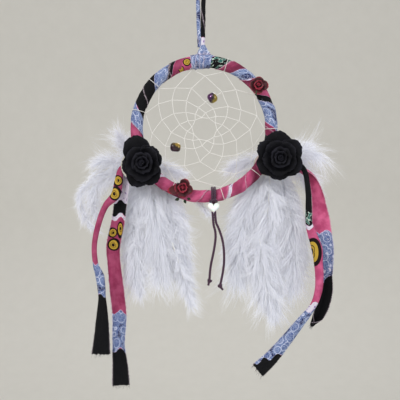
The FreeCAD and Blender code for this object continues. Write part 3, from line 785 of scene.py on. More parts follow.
STRIPS = [
    # side, centre (x, z), half widths, depths, zones, rings, bulge, seed, length, lobes
    ("outer_left",
     [(-72, -180), (-79, -184), (-81.5, -196), (-84.5, -209), (-94, -220), (-100.5, -237),
      (-104.7, -258), (-103.5, -277), (-99.5, -290), (-97.3, -310), (-97.7, -335),
      (-98.2, -366)],
     [3, 3, 4.2, 4.6, 3, 2.8, 2.6, 2.6, 4.3, 3.6, 6.4, 9.4],
     [-5, -6, -6.5, -7.5, -9, -10, -10, -10, -10, -10, -10, -10],
     [("deep", -276, 0), ("blue", -308, 0), ("black", -900, 0)],
     [(-81.9, -195, 5.0, 200, 1.1), (-84.0, -207.5, 6.0, 20, 1.15)], 1, 11, 200, 0.7),
    ("inner_left",
     [(-70, -184), (-75.5, -193), (-79.5, -215), (-82.5, -236), (-87, -259), (-86.5, -276),
      (-83.5, -304), (-81, -329), (-81.8, -358), (-80.2, -379), (-79.3, -399)],
     [4, 5, 6.0, 6.6, 6.8, 6.3, 7.0, 6.9, 5.8, 7.6, 8.8],
     [-2] * 11,
     [("pale", -216, 0), ("black", -228.5, 0), ("pale", -233, 0), ("deep", -326, 0),
      ("blue", -364, 0), ("black", -900, 0)],
     [(-86.4, -258.5, 6.2, 30, 1), (-88.0, -246.5, 4.6, 160, 1.1), (-80.2, -244, 3.2, 250, 2.6)],
     -1, 12, 222, 0.55),
    ("inner_right",
     [(92, -177), (99, -180), (103.8, -188), (106.2, -206), (106.6, -220), (106.9, -237),
      (110.4, -248.4), (115, -262.5), (116.4, -276.6), (117.3, -290.6), (116.1, -304.7),
      (110.8, -318.8), (98, -336), (84.7, -353.5), (69.7, -371), (57, -383)],
     [2.5, 2.6, 2.6, 2.8, 3.1, 3.4, 4.6, 5.4, 4.5, 4.2, 3.8, 3.2, 4.6, 5.8, 7.2, 8],
     [-5, -6, -7, -8, -8, -8, -8, -8, -8, -8, -8, -8, -7, -6, -6, -6],
     [("black", -222, 0), ("teal", -237.5, 0), ("pale", -241.5, 0), ("bright", -316, 0),
      ("purple", -323, 0), ("blue", -395, 0.36), ("black", -900, 0)],
     [(111.0, -265.5, 8.4, 0, 1.65)], 1, 13, 236, 0.5),
    ("outer_right",
     [(92, -179), (101, -184), (110.1, -192.1), (115.4, -206.2), (117.8, -220.3),
      (120.1, -234.4), (122, -248.4), (124.5, -262.5), (125.2, -276.6), (125.4, -290.6),
      (125.2, -304.7), (121, -318.8), (116.5, -330), (110.5, -339.5)],
     [2.5, 3, 3.8, 5.3, 7, 9, 9.1, 7.6, 6.3, 5, 5.6, 6.7, 5, 1.2],
     [-2, -1, -1, -1, -1, -1, -1, -1, -1, -1, -1, -1, -1, -1],
     [("bright", -246, 0), ("light", -470.7, 1.4), ("black", -900, 0)],
     [], -1, 14, 174, 0.45),
]
for side, *shape in STRIPS:
    hanging_strip("cloth_" + side, "strip_" + side, *shape)


# ---------------------------------------------------------------- plumes
BARB_STEPS = 6
QUILL_POINTS = 60
QUILL_TONE = 0.6
FIRST_LOCK, LAST_LOCK = 0.02, 0.98  # shares of the quill's length
BACK_DEPTH = 6.0  # how far the down reaches behind the quill
DOWN_FACING = 0.62


def plume(name, body, node, axis, halves, y, seed, locks, barbs, fine, front=9.0,
          droop=0.14, spread=2.3, fluff=0.7):
    """A marabou plume: a thin curved quill and locks of soft barbs that end in points."""
    last = QUILL_POINTS - 1
    rng = np.random.default_rng(seed)
    line2 = smooth_line(axis, QUILL_POINTS)
    width = along_points(halves, line2, axis)
    line = np.stack([line2[:, 0], np.full(QUILL_POINTS, y), line2[:, 1]], axis=1)
    tangent, side, normal = frames(line)
    place = (np.arange(locks) + rng.random(locks)) / locks
    share = FIRST_LOCK + (LAST_LOCK - FIRST_LOCK) * place
    at = share * last
    low = at.astype(int)
    mix = (at - low)[:, None]

    def pick(values):
        high = np.minimum(low + 1, last)
        return values[low] * (1 - mix) + values[high] * mix

    base, along, out, near = pick(line), pick(tangent), pick(side), pick(normal)
    hand = np.where(rng.random(locks) < 0.5, -1.0, 1.0)
    lean = np.radians(54 - 32 * share + rng.normal(0, 17, locks))
    lift = rng.normal(0.15, 0.5, locks)
    heading = unit(along * np.cos(lean)[:, None] + out * (hand * np.sin(lean))[:, None]
                   + near * lift[:, None])
    half = np.interp(np.minimum(share + 0.10, 1), np.linspace(0, 1, QUILL_POINTS), width)
    reach = np.maximum(half * 1.15 / np.sin(np.maximum(lean, 0.35)), 6)
    reach = reach * rng.uniform(0.7, 1.2, locks)
    curl = rng.normal(0, 0.19, (locks, 3)) * (1, 0.6, 1)
    guide = grow(base, heading, reach, BARB_STEPS, curl + along * 0.10, droop)
    bend = np.linspace(0, 1, BARB_STEPS)
    total = locks * barbs
    lines = np.repeat(guide, barbs, axis=0)
    length = rng.uniform(0.45, 1.12, total)
    start = lines[:, :1]
    lines = start + (lines - start) * length[:, None, None]
    fan = rng.normal(0, 1, (total, 3)) * (1, 0.8, 1)
    stray = rng.normal(0, 1, (total, 3))
    swell = np.sin(bend * math.pi * 0.8) * spread + 0.25 * bend**2 * spread
    lines = lines + fan[:, None, :] * swell[None, :, None]
    lines = lines + stray[:, None, :] * (bend**3 * spread * 1.1)[None, :, None]
    slide = np.repeat(along, barbs, axis=0) * rng.normal(0, 1.8, (total, 1))
    lines = lines + slide[:, None, :] * (1 - bend)[None, :, None]
    fill = int(total * fluff)
    place = rng.uniform(0.04, 0.86, fill)
    spot = (place * last).astype(int)
    aside = rng.uniform(-0.8, 0.8, fill)
    root = line[spot] + side[spot] * (aside * width[spot])[:, None]
    root[:, 1] = y + rng.normal(1.5, 2.4, fill)
    heading = unit(tangent[spot] * 1.0 + side[spot] * (aside * 0.9)[:, None]
                   + rng.normal(0, 0.55, (fill, 3)) + np.array([0, 0, -droop * 3]))
    bow = rng.normal(0, 0.22, (fill, 3))
    reach = rng.uniform(5, 13, fill) * np.clip(width[spot] / 10, 0.5, 1.1)
    lines = np.concatenate([lines, grow(root, heading, reach, BARB_STEPS, bow, droop * 0.6)])
    total += fill
    off = lines[..., 1] - y
    lines[..., 1] = y + np.where(off < 0, front * np.tanh(off / front),
                                 BACK_DEPTH * np.tanh(off / BACK_DEPTH))
    widths = (fine * np.broadcast_to((1 - bend) ** 0.6 + 0.12, (total, BARB_STEPS))
              * rng.uniform(0.6, 1.2, (total, 1)))
    points, faces = ribbons(lines, widths, rng, DOWN_FACING)
    tone = np.repeat(rng.uniform(0.25, 1.0, total), BARB_STEPS * 2)
    add_piece(name + "_down", points, faces, DOWN, body, "plume_down",
              [node] if node else [], tone=tone)
    root = line[0] - unit(line[1] - line[0]) * 5
    q_points, q_faces, _ = tube(np.vstack([root[None], line]),
                                np.linspace(0.75, 0.12, QUILL_POINTS + 1), 8)
    add_piece(name + "_quill", q_points, q_faces, QUILL, body, "plume_down",
              tone=np.full(len(q_points), QUILL_TONE))


PLUMES = [
    # name, body, axis (x, z), half widths, y, locks
    ("plume_left_middle", "left_plumes",
     [(-52, -187), (-50, -200), (-46, -229), (-42, -262), (-41, -290)],
     [6, 15, 19, 19, 11], 8.8, 130),
    ("plume_left_outer", "left_plumes",
     [(-56, -187), (-62, -202), (-66, -229), (-67, -262), (-65, -290), (-61.5, -312)],
     [5, 13, 15, 17, 13, 4], 11.0, 130),
    ("plume_left_inner", "left_plumes",
     [(-47, -187), (-36, -204), (-29, -229), (-24, -258), (-19, -284), (-14, -304)],
     [6, 13, 17, 17, 12, 6], 13.2, 130),
    ("plume_right_middle", "right_plumes",
     [(70, -186), (70, -202), (68, -231), (67, -273), (69, -308), (73, -334)],
     [7, 16, 19, 20, 17, 5], 8.8, 150),
    ("plume_right_inner", "right_plumes",
     [(66, -186), (56, -202), (45, -230), (39, -266), (38, -294)],
     [6, 15, 18, 19, 12], 11.0, 140),
    ("plume_right_outer", "right_plumes",
     [(75, -186), (85, -202), (92, -230), (95, -262), (94, -288), (90, -302)],
     [6, 14, 16, 18, 17, 10], 13.2, 140),
    ("plume_side_left_upper", "hoop",
     [(-66, -173), (-74, -162), (-80, -153), (-84, -147)], [6, 10, 9, 4], 15.6, 34),
    ("plume_side_left_middle", "hoop",
     [(-67, -177), (-82, -176), (-99, -174), (-110, -177)], [6, 11, 10, 4], 18.0, 44),
    ("plume_side_left_lower", "hoop",
     [(-66, -179), (-88, -186), (-105, -199), (-111, -216), (-106, -238)],
     [4, 9, 10, 9, 3], 19.0, 70),
    ("plume_behind_web_left", "hoop",
     [(-58, -176), (-42, -181), (-26, -184), (-15, -189)], [5, 9, 8, 3], 15.6, 34),
    ("plume_side_right_upper", "hoop",
     [(75, -171), (94, -166), (108, -165), (118, -170)], [6, 13, 14, 9], 15.6, 56),
    ("plume_side_right_lower", "hoop",
     [(75, -174), (98, -180), (112, -192), (119, -207)], [5, 12, 12, 5], 17.4, 50),
    ("plume_behind_web_right", "hoop",
     [(68, -172), (54, -174), (40, -178), (28, -184)], [6, 11, 11, 5], 19.0, 44),
    ("plume_wisp", "hoop", [(-4, -212), (3, -222), (10, -231)], [1.5, 3.5, 1.5], 7.5, 12),
]
for seed, (name, body, axis, halves, y, locks) in enumerate(PLUMES, 40):
    plume(name, body, name, axis, halves, y, seed, locks=locks,
          barbs=20 if body == "hoop" else 30, fine=0.20 if body == "hoop" else 0.25)

# Short curled feathers of the same bunches, glued under the long ones
CURLS = [
    ("curl_right_low", "right_plumes",
     [(64, -262), (63, -284), (67, -306), (72, -322)], [5, 15, 16, 9], 5.0, 80),
    ("curl_right_burst", "right_plumes",
     [(60, -258), (61, -264), (60, -272)], [13, 15, 12], 3.5, 34),
    ("curl_left_low", "left_plumes",
     [(-27, -262), (-20, -284), (-14, -304), (-10, -318)], [4, 9, 10, 6], 6.0, 50),
    ("curl_side_left", "hoop",
     [(-98, -183), (-112, -191), (-123, -208), (-122, -226), (-113, -241), (-106, -246)],
     [2, 4, 5, 6, 5, 3], 19.0, 60),
]
for seed, (name, body, axis, halves, y, locks) in enumerate(CURLS, 80):
    plume(name, body, None, axis, halves, y, seed, locks=locks, barbs=24, front=6.0,
          droop=0.10, spread=1.4, fine=0.22, fluff=0.35)


# ---------------------------------------------------------------- hanging loop and pendant cords
def spline_points(name, route_m):
    """Places along the route's smooth curve, in mm, from Blender's own NURBS."""
    curve = bpy.data.curves.new(name, "CURVE")
    curve.dimensions, curve.resolution_u = "3D", 24
    spline = curve.splines.new("NURBS")
    spline.points.add(len(route_m) - 1)
    for point, place in zip(spline.points, route_m):
        point.co = (*place, 1.0)
    spline.order_u, spline.use_endpoint_u = 3, True
    obj = new_object(name, curve)
    mesh = bpy.data.meshes.new_from_object(obj)
    points = np.array([v.co[:] for v in mesh.vertices])
    bpy.data.objects.remove(obj)
    return points


def resample(points, spacing):
    return evenly(points, max(int(run_along(points)[-1] / spacing), 8))


def plied(line, radius, sides, pitch, relief):
    """A twisted cord's surface: two plies that wind round each other."""
    run = run_along(line)
    turn = round_turn(sides)
    lobes = np.cos(2 * (turn[None, :] - TURN * run[:, None] / pitch))
    points, faces, strand = tube(line, radius, sides)
    rings = points.reshape(len(line), sides, 3)
    rings = line[:, None] + (rings - line[:, None]) * (1 + relief * lobes)[..., None]
    return rings.reshape(-1, 3), faces, strand


LOOP_ROUTE = [(-0.0010, 0, -0.0610), (-0.0022, 0, -0.0330), (-0.0023, 0, -0.0160),
              (-0.0044, 0, 0.0044), (0.0046, 0, 0.0044), (0.0027, 0, -0.0140),
              (0.0028, 0, -0.0340), (0.0022, 0, -0.0610)]
loop_line = spline_points("loop_route", LOOP_ROUTE)


def cloth_loop(line_m):
    """The hanging loop: a strip rolled into a soft cord, blue up one side, black down."""
    line = resample(line_m / MM, 0.8)
    sides = 20
    points, faces, strand = tube(line, 2.0, sides)
    rings = points.reshape(len(line), sides, 3) - line[:, None]
    turn = round_turn(sides)
    run = strand.reshape(len(line), sides, 3)[..., 0]
    where = np.stack([run.ravel() * 0.35, np.tile(turn, len(line)) * 1.1, 0 * run.ravel()], 1)
    folds = rough(where, 0.8, 21) + 0.6 * rough(where * (0.4, 3.0, 1), 1.0, 23)
    folds = folds.reshape(len(line), sides)
    right = line[:, 0] > 0.2
    plump = np.where(right, 1.13, 1.0)[:, None]
    rings = rings * (plump + 0.15 * folds)[..., None]
    fold_line = np.abs(np.angle(np.exp(1j * (turn[None, :] - run * 0.12 - 1.2))))
    rings = rings * (1 - 0.16 * np.exp(-(fold_line / 0.35) ** 2))[..., None]
    points = (rings + line[:, None]).reshape(-1, 3)
    prints = np.zeros((len(line), sides, 5))
    prints[~right] = PRINTS["blue"]
    prints[right] = PRINTS["black"]
    prints[right & (line[:, 2] < -52)] = PRINTS["pale"]
    for _ in range(2):
        soften(prints)
    cloth = np.stack([run, turn[None, :] * 2.0 + 0 * run, 0 * run], -1)
    worn = np.exp(-(fold_line / 0.2) ** 2)
    obj = cloth_piece("hang_loop_cloth", "hanger", "loop_cloth", ["hang_loop"], points,
                      faces, cloth, prints, np.full(len(points), NO_MOTIF), worn, None)


cloth_loop(loop_line)


def loop_tuft():
    """The cloth gathered where the loop meets the hoop, opening into a frayed tuft."""
    rows, sides = 26, 48
    v = np.linspace(0, 1, rows)[:, None]
    turn = round_turn(sides)[None, :]
    pleat = np.cos(turn * 6 + 2.5 * v) * 0.5 + np.cos(turn * 11 - 3 * v) * 0.3
    wide, deep = 2.2 + 4.2 * v**1.3, 2.0 + 1.6 * v
    swell = 1 + 0.16 * pleat * (0.3 + v)
    points = np.stack([2.3 + 0.9 * v + wide * swell * np.cos(turn),
                       -0.3 + deep * swell * np.sin(turn),
                       -59.6 - 9.6 * v + 0.6 * pleat * v], -1)
    prints = np.zeros((rows, sides, 5))
    prints[:] = PRINTS["light"]
    prints[:, :sides // 3] = PRINTS["blue"]
    cloth = np.stack([v * 10 + 0 * turn, turn * 3 + 0 * v, 0 * turn * v], -1)
    worn = between(v, 0.8, 1) * np.ones((1, sides))
    cloth_piece("loop_tuft", "hanger", "loop_cloth", ["hang_knot"], points,
                grid_faces(rows, sides, close_columns=True), cloth, prints,
                np.full((rows, sides), NO_MOTIF), worn, 0.5)
    rng = np.random.default_rng(60)
    count = 70
    ends = points[-1, rng.integers(0, sides, count)]
    heading = unit(ends - np.array([2.5, 0, -62.0])) + rng.normal(0, 0.3, (count, 3))
    tints = np.where(rng.random((count, 1)) < 0.7, (0.78, 0.74, 0.90), (0.50, 0.56, 0.80))
    frays("loop_tuft_frays", "hanger", "loop_cloth", ends, heading, tints,
          rng.uniform(0.8, 3.2, count), rng, 0.14)


loop_tuft()

CORD_Y = -0.00815
LEFT_TAIL = [(0.01175, CORD_Y, -0.2099), (0.01175, CORD_Y, -0.2360),
             (0.0156, CORD_Y, -0.2470), (0.0134, CORD_Y, -0.2640),
             (0.0092, CORD_Y, -0.2820), (0.0089, CORD_Y, -0.2930)]
RIGHT_TAIL = [(0.01405, CORD_Y, -0.2099), (0.01405, CORD_Y, -0.2345),
              (0.0182, CORD_Y, -0.2420), (0.0226, CORD_Y, -0.2560),
              (0.0237, CORD_Y, -0.2730), (0.0220, CORD_Y, -0.2870),
              (0.0195, CORD_Y, -0.2980)]
PENDANT_X, HITCH_Z = 12.9, -209.9


def pendant_cord(line):
    """The plum cord's twisted surface along a line in mm."""
    return plied(line, radius=1.2, sides=14, pitch=4.8, relief=0.07)


def overhand_knot(name, end_mm, lean, node):
    """A pulled-tight overhand knot with a short cut end below it."""
    t = np.linspace(0, TURN * 0.97, 60)
    knot = np.stack([np.sin(t) + 1.7 * np.sin(2 * t), 1.3 * np.sin(3 * t),
                     np.cos(t) - 1.7 * np.cos(2 * t)], 1) * (0.62, 0.8, 0.62)
    tail = np.array([[0.2, -0.3, -1.6], [0.6, -0.6, -3.2], [1.0, -0.5, -4.4]])
    turned = np.array([[math.cos(lean), 0, math.sin(lean)], [0, 1, 0],
                       [-math.sin(lean), 0, math.cos(lean)]])
    centre = np.array(end_mm) + (0, 0, -1.0)
    parts = [plied(resample(knot @ turned.T + centre, 0.3), 1.05, 10, 2.4, 0.06),
             plied(resample(tail @ turned.T + centre, 0.3), 1.1, 10, 2.4, 0.10)]
    points, faces, strand = join_parts(parts)
    return add_piece(name, points, faces, PLUM, "pendant", "plum_cord", [node],
                     strand=strand)


def pendant_tail(name, route, lean, knot_name, node):
    line = spline_points(name + "_route", route)
    points, faces, strand = pendant_cord(resample(line / MM, 0.35))
    obj = add_piece(name, points, faces, PLUM, "pendant", "plum_cord", ["pendant_cord"],
                    strand=strand)
    knot = overhand_knot(knot_name, np.array(route[-1]) / MM, lean, node)


pendant_tail("pendant_tail_left", LEFT_TAIL, 0.5, "tail_knot_left", "pendant_knot_left")
pendant_tail("pendant_tail_right", RIGHT_TAIL, -0.4, "tail_knot_right",
             "pendant_knot_right")


def larks_head():
    """The cord's doubled loop round the hoop, with its bight across the lower front."""
    half = [(-1.2, -8.1, -3.2), (-1.25, -8.3, 0.0), (-1.3, -6.4, 5.2), (-1.3, 0.0, 8.2),
            (-1.35, 6.2, 5.4), (-1.4, 8.15, 0.0), (-1.6, 5.8, -5.8), (-2.0, 0.2, -8.3),
            (-2.6, -6.3, -7.2), (-2.9, -9.8, -5.2), (-1.9, -11.0, -4.4)]
    whole = half + [(0, -11.2, -4.2)] + [(-x, y, z) for x, y, z in reversed(half)]
    line = smooth_line(np.array(whole) + (PENDANT_X, 0, HITCH_Z), 260)
    points, faces, strand = pendant_cord(line)
    add_piece("pendant_hitch", points, faces, PLUM, "pendant", "plum_cord",
              ["pendant_cord"], strand=strand)


larks_head()


def heart_bead():
    """A plump pearly heart threaded on both cords."""
    rings, sides = 22, 72
    t = round_turn(sides)
    outline = np.stack([16 * np.sin(t) ** 3,
                        13 * np.cos(t) - 5 * np.cos(2 * t) - 2 * np.cos(3 * t)
                        - np.cos(4 * t)], 1) / 32.0
    outline = outline * (12.2, 12.4) + (0, 0.75)
    share = np.sin(np.linspace(0.04, 1, rings) * math.pi / 2)
    front = -(1 - share**2.6) ** 0.5 * 3.9
    layers = [(share[i], front[i]) for i in range(rings)]
    layers += [(share[i], -front[i]) for i in range(rings - 2, -1, -1)]
    centre = np.array([PENDANT_X, CORD_Y / MM, -221.9])
    points = np.array([[(outline[k, 0] * s, y, outline[k, 1] * s - 1.1 * (1 - s))
                        for k in range(sides)] for s, y in layers]) + centre
    obj = add_piece("pearl_heart", points, capped_faces(len(layers), sides), PEARL,
                    "heart", "heart_bead", ["heart_bead"])
    turn = round_turn(32)
    ring = np.stack([PENDANT_X + 2.6 * np.cos(turn), CORD_Y / MM + 1.7 * np.sin(turn)], 1)
    drill = np.vstack([np.column_stack([ring, np.full(32, z)]) for z in (-240.0, -205.0)])
    cutter = new_object("drill", smooth_mesh("drill", drill * MM, capped_faces(2, 32)))
    modify(obj, "BOOLEAN", object=cutter, operation="DIFFERENCE", solver="EXACT")
    bpy.context.view_layer.update()
    bored = bpy.data.meshes.new_from_object(
        obj.evaluated_get(bpy.context.evaluated_depsgraph_get()))
    obj.modifiers.clear()
    obj.data = bored
    bpy.data.objects.remove(cutter)


heart_bead()


# ---------------------------------------------------------------- the web
WEB_ANCHORS = [165, 138, 101, 71, 35, 0, -40, -74, -118, -156]
FIRST_ROW = [(151, 52), (125, 50), (89, 53), (51, 50.5), (14, 54.5),
             (-20, 52), (-55, 55), (-98, 52), (-137, 53), (-175.5, 52)]
SECOND_ROW = [(138, 43), (107, 42.5), (64, 41), (27, 41.5), (-1, 46),
              (-38, 42), (-76, 43), (-118, 42), (-156, 42.5), (-192, 43)]
THIRD_ROW = [(122, 33), (87, 27), (43, 33), (13, 36), (-19, 34),
             (-57, 33), (-97, 33), (-133.5, 26.5), (-174, 33), (-207, 34)]
INNER_SHRINK = [0.74, 0.73, 0.70]
THREAD_R, HITCH_R = 0.27, 6.9


def web():
    rng = np.random.default_rng(5)
    rows = [[(a, RING_R - HITCH_R) for a in WEB_ANCHORS], FIRST_ROW, SECOND_ROW, THIRD_ROW]
    for shrink in INNER_SHRINK:
        last = rows[-1]
        turned = last[1:] + [(last[0][0] - 360, last[0][1])]
        rows.append([((a[0] + b[0]) / 2, shrink * (a[1] + b[1]) / 2)
                     for a, b in zip(last, turned)])
    knots = [[on_hoop(a, r) for a, r in row] for row in rows]
    parts = []

    def thread(line):
        parts.append(plied(line, THREAD_R, sides=8, pitch=3.2, relief=0.16))

    def run(a, b):
        line = resample(np.stack([a, b]), 0.55)
        slack = np.sin(np.linspace(0, math.pi, len(line)))[:, None]
        thread(line + slack * rng.normal(0, 0.16, 3))

    def half_hitch(place):
        turn = np.linspace(0, TURN * 1.7, 26)
        lean = unit(rng.normal(0, 1, 3) * (1, 0.4, 1))
        other = unit(np.cross(lean, (0, 1, 0)))
        loop = (np.cos(turn)[:, None] * other + np.sin(turn)[:, None] * np.array([0, 1, 0])
                ) * 0.46 + np.linspace(-0.45, 0.45, 26)[:, None] * lean
        parts.append(plied(place + loop, THREAD_R, 7, 3.2, 0.10))

    for outer, inner in zip(knots, knots[1:]):
        for i, knot in enumerate(inner):
            run(outer[i], knot)
            run(outer[(i + 1) % len(outer)], knot)
            half_hitch(knot)
    middle = knots[-1]
    for i, knot in enumerate(middle):
        run(knot, middle[(i + 1) % len(middle)])
    turn = np.linspace(-0.35, TURN + 0.35, 90)
    for angle, foot in zip(WEB_ANCHORS, knots[0]):
        across = HITCH_R * 0.985 + 0.12 * np.sin(turn * 3 + angle)
        ring = on_hoop(np.full(90, float(angle)) + 0.55 * np.linspace(-1, 1, 90), RING_R)
        outward = unit(ring - np.array([HOOP_X, 0, HOOP_Z]))
        thread(ring - outward * (across * np.cos(turn))[:, None]
               + TO_VIEWER * (across * np.sin(turn))[:, None])
        half_hitch(foot)
    points, faces, strand = join_parts(parts)
    add_piece("web_of_thread", points, faces, THREAD, "hoop", "thread", ["web_thread"],
              strand=strand)


web()


# ---------------------------------------------------------------- roses
def set_toward(centre, toward, a, b, y):
    """Points at a out from a centre (x, z) in the direction toward, and b across it."""
    x = centre[0] + a * math.cos(toward) - b * math.sin(toward)
    z = centre[1] + a * math.sin(toward) + b * math.cos(toward)
    return np.stack([x, y, z], -1).reshape(-1, 3)


def round_centre(centre, r, turn, y):
    """Points at r from a centre (x, z), in the direction turn."""
    points = [centre[0] + r * np.cos(turn), y, centre[1] + r * np.sin(turn)]
    return np.stack(points, -1).reshape(-1, 3)


def lobe_petal(centre, lobe, base_y, rim_y, cup, roll, wave, seed, foot=1.5):
    """An open petal that lies over (dx, dz, radius) from the rose's centre."""
    dx, dz, radius = lobe
    reach, toward = math.hypot(dx, dz) + radius, math.atan2(dz, dx)
    u, v = lattice(25, 19)
    grain = rough_over(u * 2.1, v * 1.3, 0 * u, seed)
    ruffle = rough_over(u * 4.2, 0 * v, v * 0.8, seed + 9)
    rim = v * (1 - 0.30 * np.abs(u) ** 2.4 + 0.05 * ruffle)
    a = foot + (reach - foot) * rim
    width = radius * (0.42 + 0.66 * np.sin(np.minimum(v / 0.66, 1) * math.pi / 2)
                      - 0.16 * between(v, 0.7, 1) ** 2)
    b = u * width
    y = base_y + (rim_y - base_y) * v**1.5 - cup * u**2 * v + wave * grain * v
    y = y + roll * between(v, 0.68, 1) ** 2 * (1 + 0.6 * ruffle)
    y = y + 0.8 * roll * between(np.abs(u), 0.75, 1) ** 2 * v
    edge = np.maximum(between(v, 0.86, 1), between(np.abs(u), 0.9, 1))
    return set_toward(centre, toward, a, b, y), grid_faces(25, 19), edge.ravel()


def wall_petal(centre, toward, span, radii, ys, spiral, roll, seed, wave):
    """A petal that stands up round the bud, one edge tucked in and the other out."""
    u, v = lattice(29, 15)
    grain = rough_over(u * 2.4, v * 1.6, 0 * u, seed)
    turn = toward + span * u
    rise = v * (1 - 0.20 * u**2 + 0.08 * grain)
    r = radii[0] + (radii[1] - radii[0]) * rise**1.4 + spiral * u + wave * grain
    lip = between(v, 0.74, 1) ** 2
    r = r + roll * lip * (1 + 0.5 * grain)
    y = ys[0] + (ys[1] - ys[0]) * rise + 0.55 * roll * lip
    edge = np.maximum(between(v, 0.85, 1), between(np.abs(u), 0.93, 1))
    return round_centre(centre, r, turn, y), grid_faces(29, 15), edge.ravel()


def rolled_bud(centre, radii, ys, turns, seed):
    """The petal strip rolled tight in the middle."""
    u, v = lattice(90, 9, 0)
    turn = seed + TURN * turns * u
    lift = 0.5 * np.sin(turn * 1.5 + seed) * v
    r = radii[0] + (radii[1] - radii[0]) * u + 0.25 * v**2 * radii[1] * u
    y = ys[0] + (ys[1] - ys[0]) * v * (0.82 + 0.18 * (1 - u)) + lift * 0.6
    edge = between(v, 0.8, 1)
    return round_centre(centre, r, turn, y), grid_faces(90, 9), edge.ravel()


def petals(name, parts, material, slot, node, thickness):
    """One rose layer from its petals' sheets."""
    points, faces, edge = join_parts(parts)
    obj = add_piece(name, points, faces, material, "hoop", slot, [node], rim=edge)
    modify(obj, "SOLIDIFY", thickness=thickness * MM, offset=0)


def rose(name, material, slot, layers):
    """Each layer's petals as one piece in place of that layer's CAD node."""
    for layer, thickness, parts in layers:
        node = name + "_" + layer + ("" if layer == "bud" else "_petals")
        petals(name + "_" + layer, parts, material, slot, node, thickness)


def black_rose(name, centre, lobes, mids, first_turn, seed):
    outer = [lobe_petal(centre, lobe, -10.2 - 0.5 * (i % 2), -13.2 - 0.9 * (i % 3), 1.2, 2.4,
                        1.5, seed + i) for i, lobe in enumerate(lobes)]
    middle = [lobe_petal(centre, lobe, -12.8, -18.6 - 0.8 * (i % 2), 1.5, 2.6, 1.3,
                         seed + 20 + i) for i, lobe in enumerate(mids)]
    inner = [wall_petal(centre, first_turn + TURN * i / 5, 0.95,
                        (3.6, 8.8 - 0.4 * (i % 2)), (-15.0, -23.0), 0.9, 1.7,
                        seed + 40 + i, 0.45) for i in range(5)]
    inner += [wall_petal(centre, first_turn + 0.6 + TURN * i / 4, 1.05, (2.4, 5.2),
                         (-16.5, -25.2), 0.7, 1.0, seed + 60 + i, 0.3) for i in range(4)]
    bud = [rolled_bud(centre, (0.5, 2.5), (-17.0, -26.6), 1.7, first_turn)]
    rose(name, FOAM, "black_foam", [("outer", 1.1, outer), ("middle", 1.0, middle),
                                    ("inner", 0.9, inner), ("bud", 0.8, bud)])


black_rose("black_rose_left", (-56.5, -178),
           [(-7, 15, 12.5), (5.5, 5, 12), (6, -10, 11), (-5, -12.5, 11), (-10, -2, 10.5)],
           [(-6, 6, 9.5), (5, 6.5, 9), (7.5, -3.5, 9), (0, -8.5, 9.5), (-7.5, -4, 9)], 0.4, 3)
black_rose("black_rose_right", (77.5, -173),
           [(-1, 14, 13), (11.2, 7.6, 11.4), (11.4, -6.2, 11), (-0.6, -10.3, 11),
            (-11, -5, 11.5), (-12, 8, 10)],
           [(-4, 7.5, 9.5), (6, 5.5, 9.5), (7, -4, 9), (-1, -8, 9.5), (-8, -1.5, 9)], 1.5, 8)


def red_rose(name, centre, lobes, seed):
    outer = [lobe_petal(centre, lobe, -7.9, -9.8 - 0.4 * (i % 2), 0.6, 1.1, 0.5, seed + i,
                        0.6) for i, lobe in enumerate(lobes)]
    inner = [wall_petal(centre, TURN * i / 4 + seed, 1.0, (1.3, 3.9), (-8.8, -13.2), 0.45,
                        0.7, seed + 20 + i, 0.18) for i in range(4)]
    bud = [rolled_bud(centre, (0.35, 1.5), (-9.5, -14.2), 1.6, seed)]
    rose(name, MAROON, "red_petal", [("outer", 0.5, outer), ("inner", 0.45, inner),
                                     ("bud", 0.4, bud)])


red_rose("red_rose_upper", (57.1, -101),
         [(0.5, 4, 4.7), (5.4, 0, 4.7), (-0.5, -4, 4.7), (-4.1, 0, 4.7)], 31)
red_rose("red_rose_lower", (-17.5, -202),
         [(2, 4.5, 4.6), (5.5, -2, 4.6), (0, -5, 4.8), (-3.5, 0, 4.6), (-11, -2.6, 4.2)], 37)


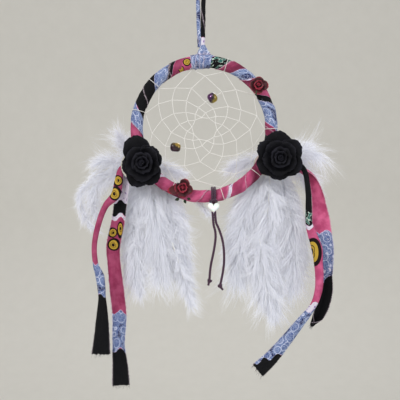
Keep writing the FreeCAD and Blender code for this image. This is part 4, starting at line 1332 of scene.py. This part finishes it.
def stem_and_leaf():
    """The upper rose's cut wire stem and the lower rose's leaf scrap."""
    line = smooth_line([(55.4, -8.2, -106.2), (54.9, -8.6, -108.6), (54.7, -8.0, -110.6)], 24)
    points, faces, _ = plied(line, np.linspace(1.15, 0.8, 24), 10, 3.0, 0.10)
    add_piece("red_rose_stem", points, faces, LEAF, "hoop", "leaf_cloth",
              ["red_rose_upper_stem"], rim=np.zeros(len(points)))
    parts = []
    for x, z, toward, size in ((-21.0, -212.6, 3.5, 4.6), (-16.0, -213.6, -1.2, 4.2),
                               (-13.2, -212.4, -0.3, 3.8)):
        u, v = lattice(9, 13)
        half = 0.34 * size * np.sin(np.clip(v, 0.02, 1) ** 0.8 * math.pi)
        a, b = size * v, u * half
        y = -8.3 - 0.5 * np.abs(u) * half + 0.5 * np.sin(v * 4)
        parts.append((set_toward((x, z), toward, a, b, y), grid_faces(9, 13),
                      np.clip(np.abs(u.ravel()) - 0.8, 0, 1)))
    petals("red_rose_leaf", parts, LEAF, "leaf_cloth", "red_rose_lower_leaf", 0.35)


stem_and_leaf()


# ---------------------------------------------------------------- CAD nodes that stay
def finish_node(node, material):
    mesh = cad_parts[node].data
    mesh.materials.clear()
    mesh.materials.append(material)


for node in ("glue_dot_upper", "glue_dot_lower", "glue_front_left", "glue_front_right",
             "glue_back_left", "glue_back_right"):
    finish_node(node, GLUE)
finish_node("hoop_core", CANE)
finish_node("web_bead_upper", UPPER_BEAD_PAINTED_SHEEN)
finish_node("web_bead_lower", LOWER_BEAD_PAINTED_SHEEN)


# ---------------------------------------------------------------- stage
def cyclorama():
    """A pale floor that curves up into a backdrop well behind the object."""
    floor_z, wall_y, bend_r, half = -0.75, 1.5, 0.5, 3.0
    profile = [(-2.5, floor_z), (wall_y - bend_r, floor_z)]
    profile += [(wall_y - bend_r + bend_r * math.sin(a), floor_z + bend_r * (1 - math.cos(a)))
                for a in np.linspace(0.1, math.pi / 2, 16)]
    profile.append((wall_y, 2.0))
    points = [(x, y, z) for y, z in profile for x in (-half, half)]
    mesh = smooth_mesh("stage", points, grid_faces(len(profile), 2))
    mesh.materials.append(STAGE)
    new_object("stage", mesh)


cyclorama()
world = bpy.data.worlds.new("soft_room")
world.use_nodes = True
background = world.node_tree.nodes["Background"]
background.inputs["Color"].default_value = (0.90, 0.89, 0.87, 1)
background.inputs["Strength"].default_value = 0.75
bpy.context.scene.world = world
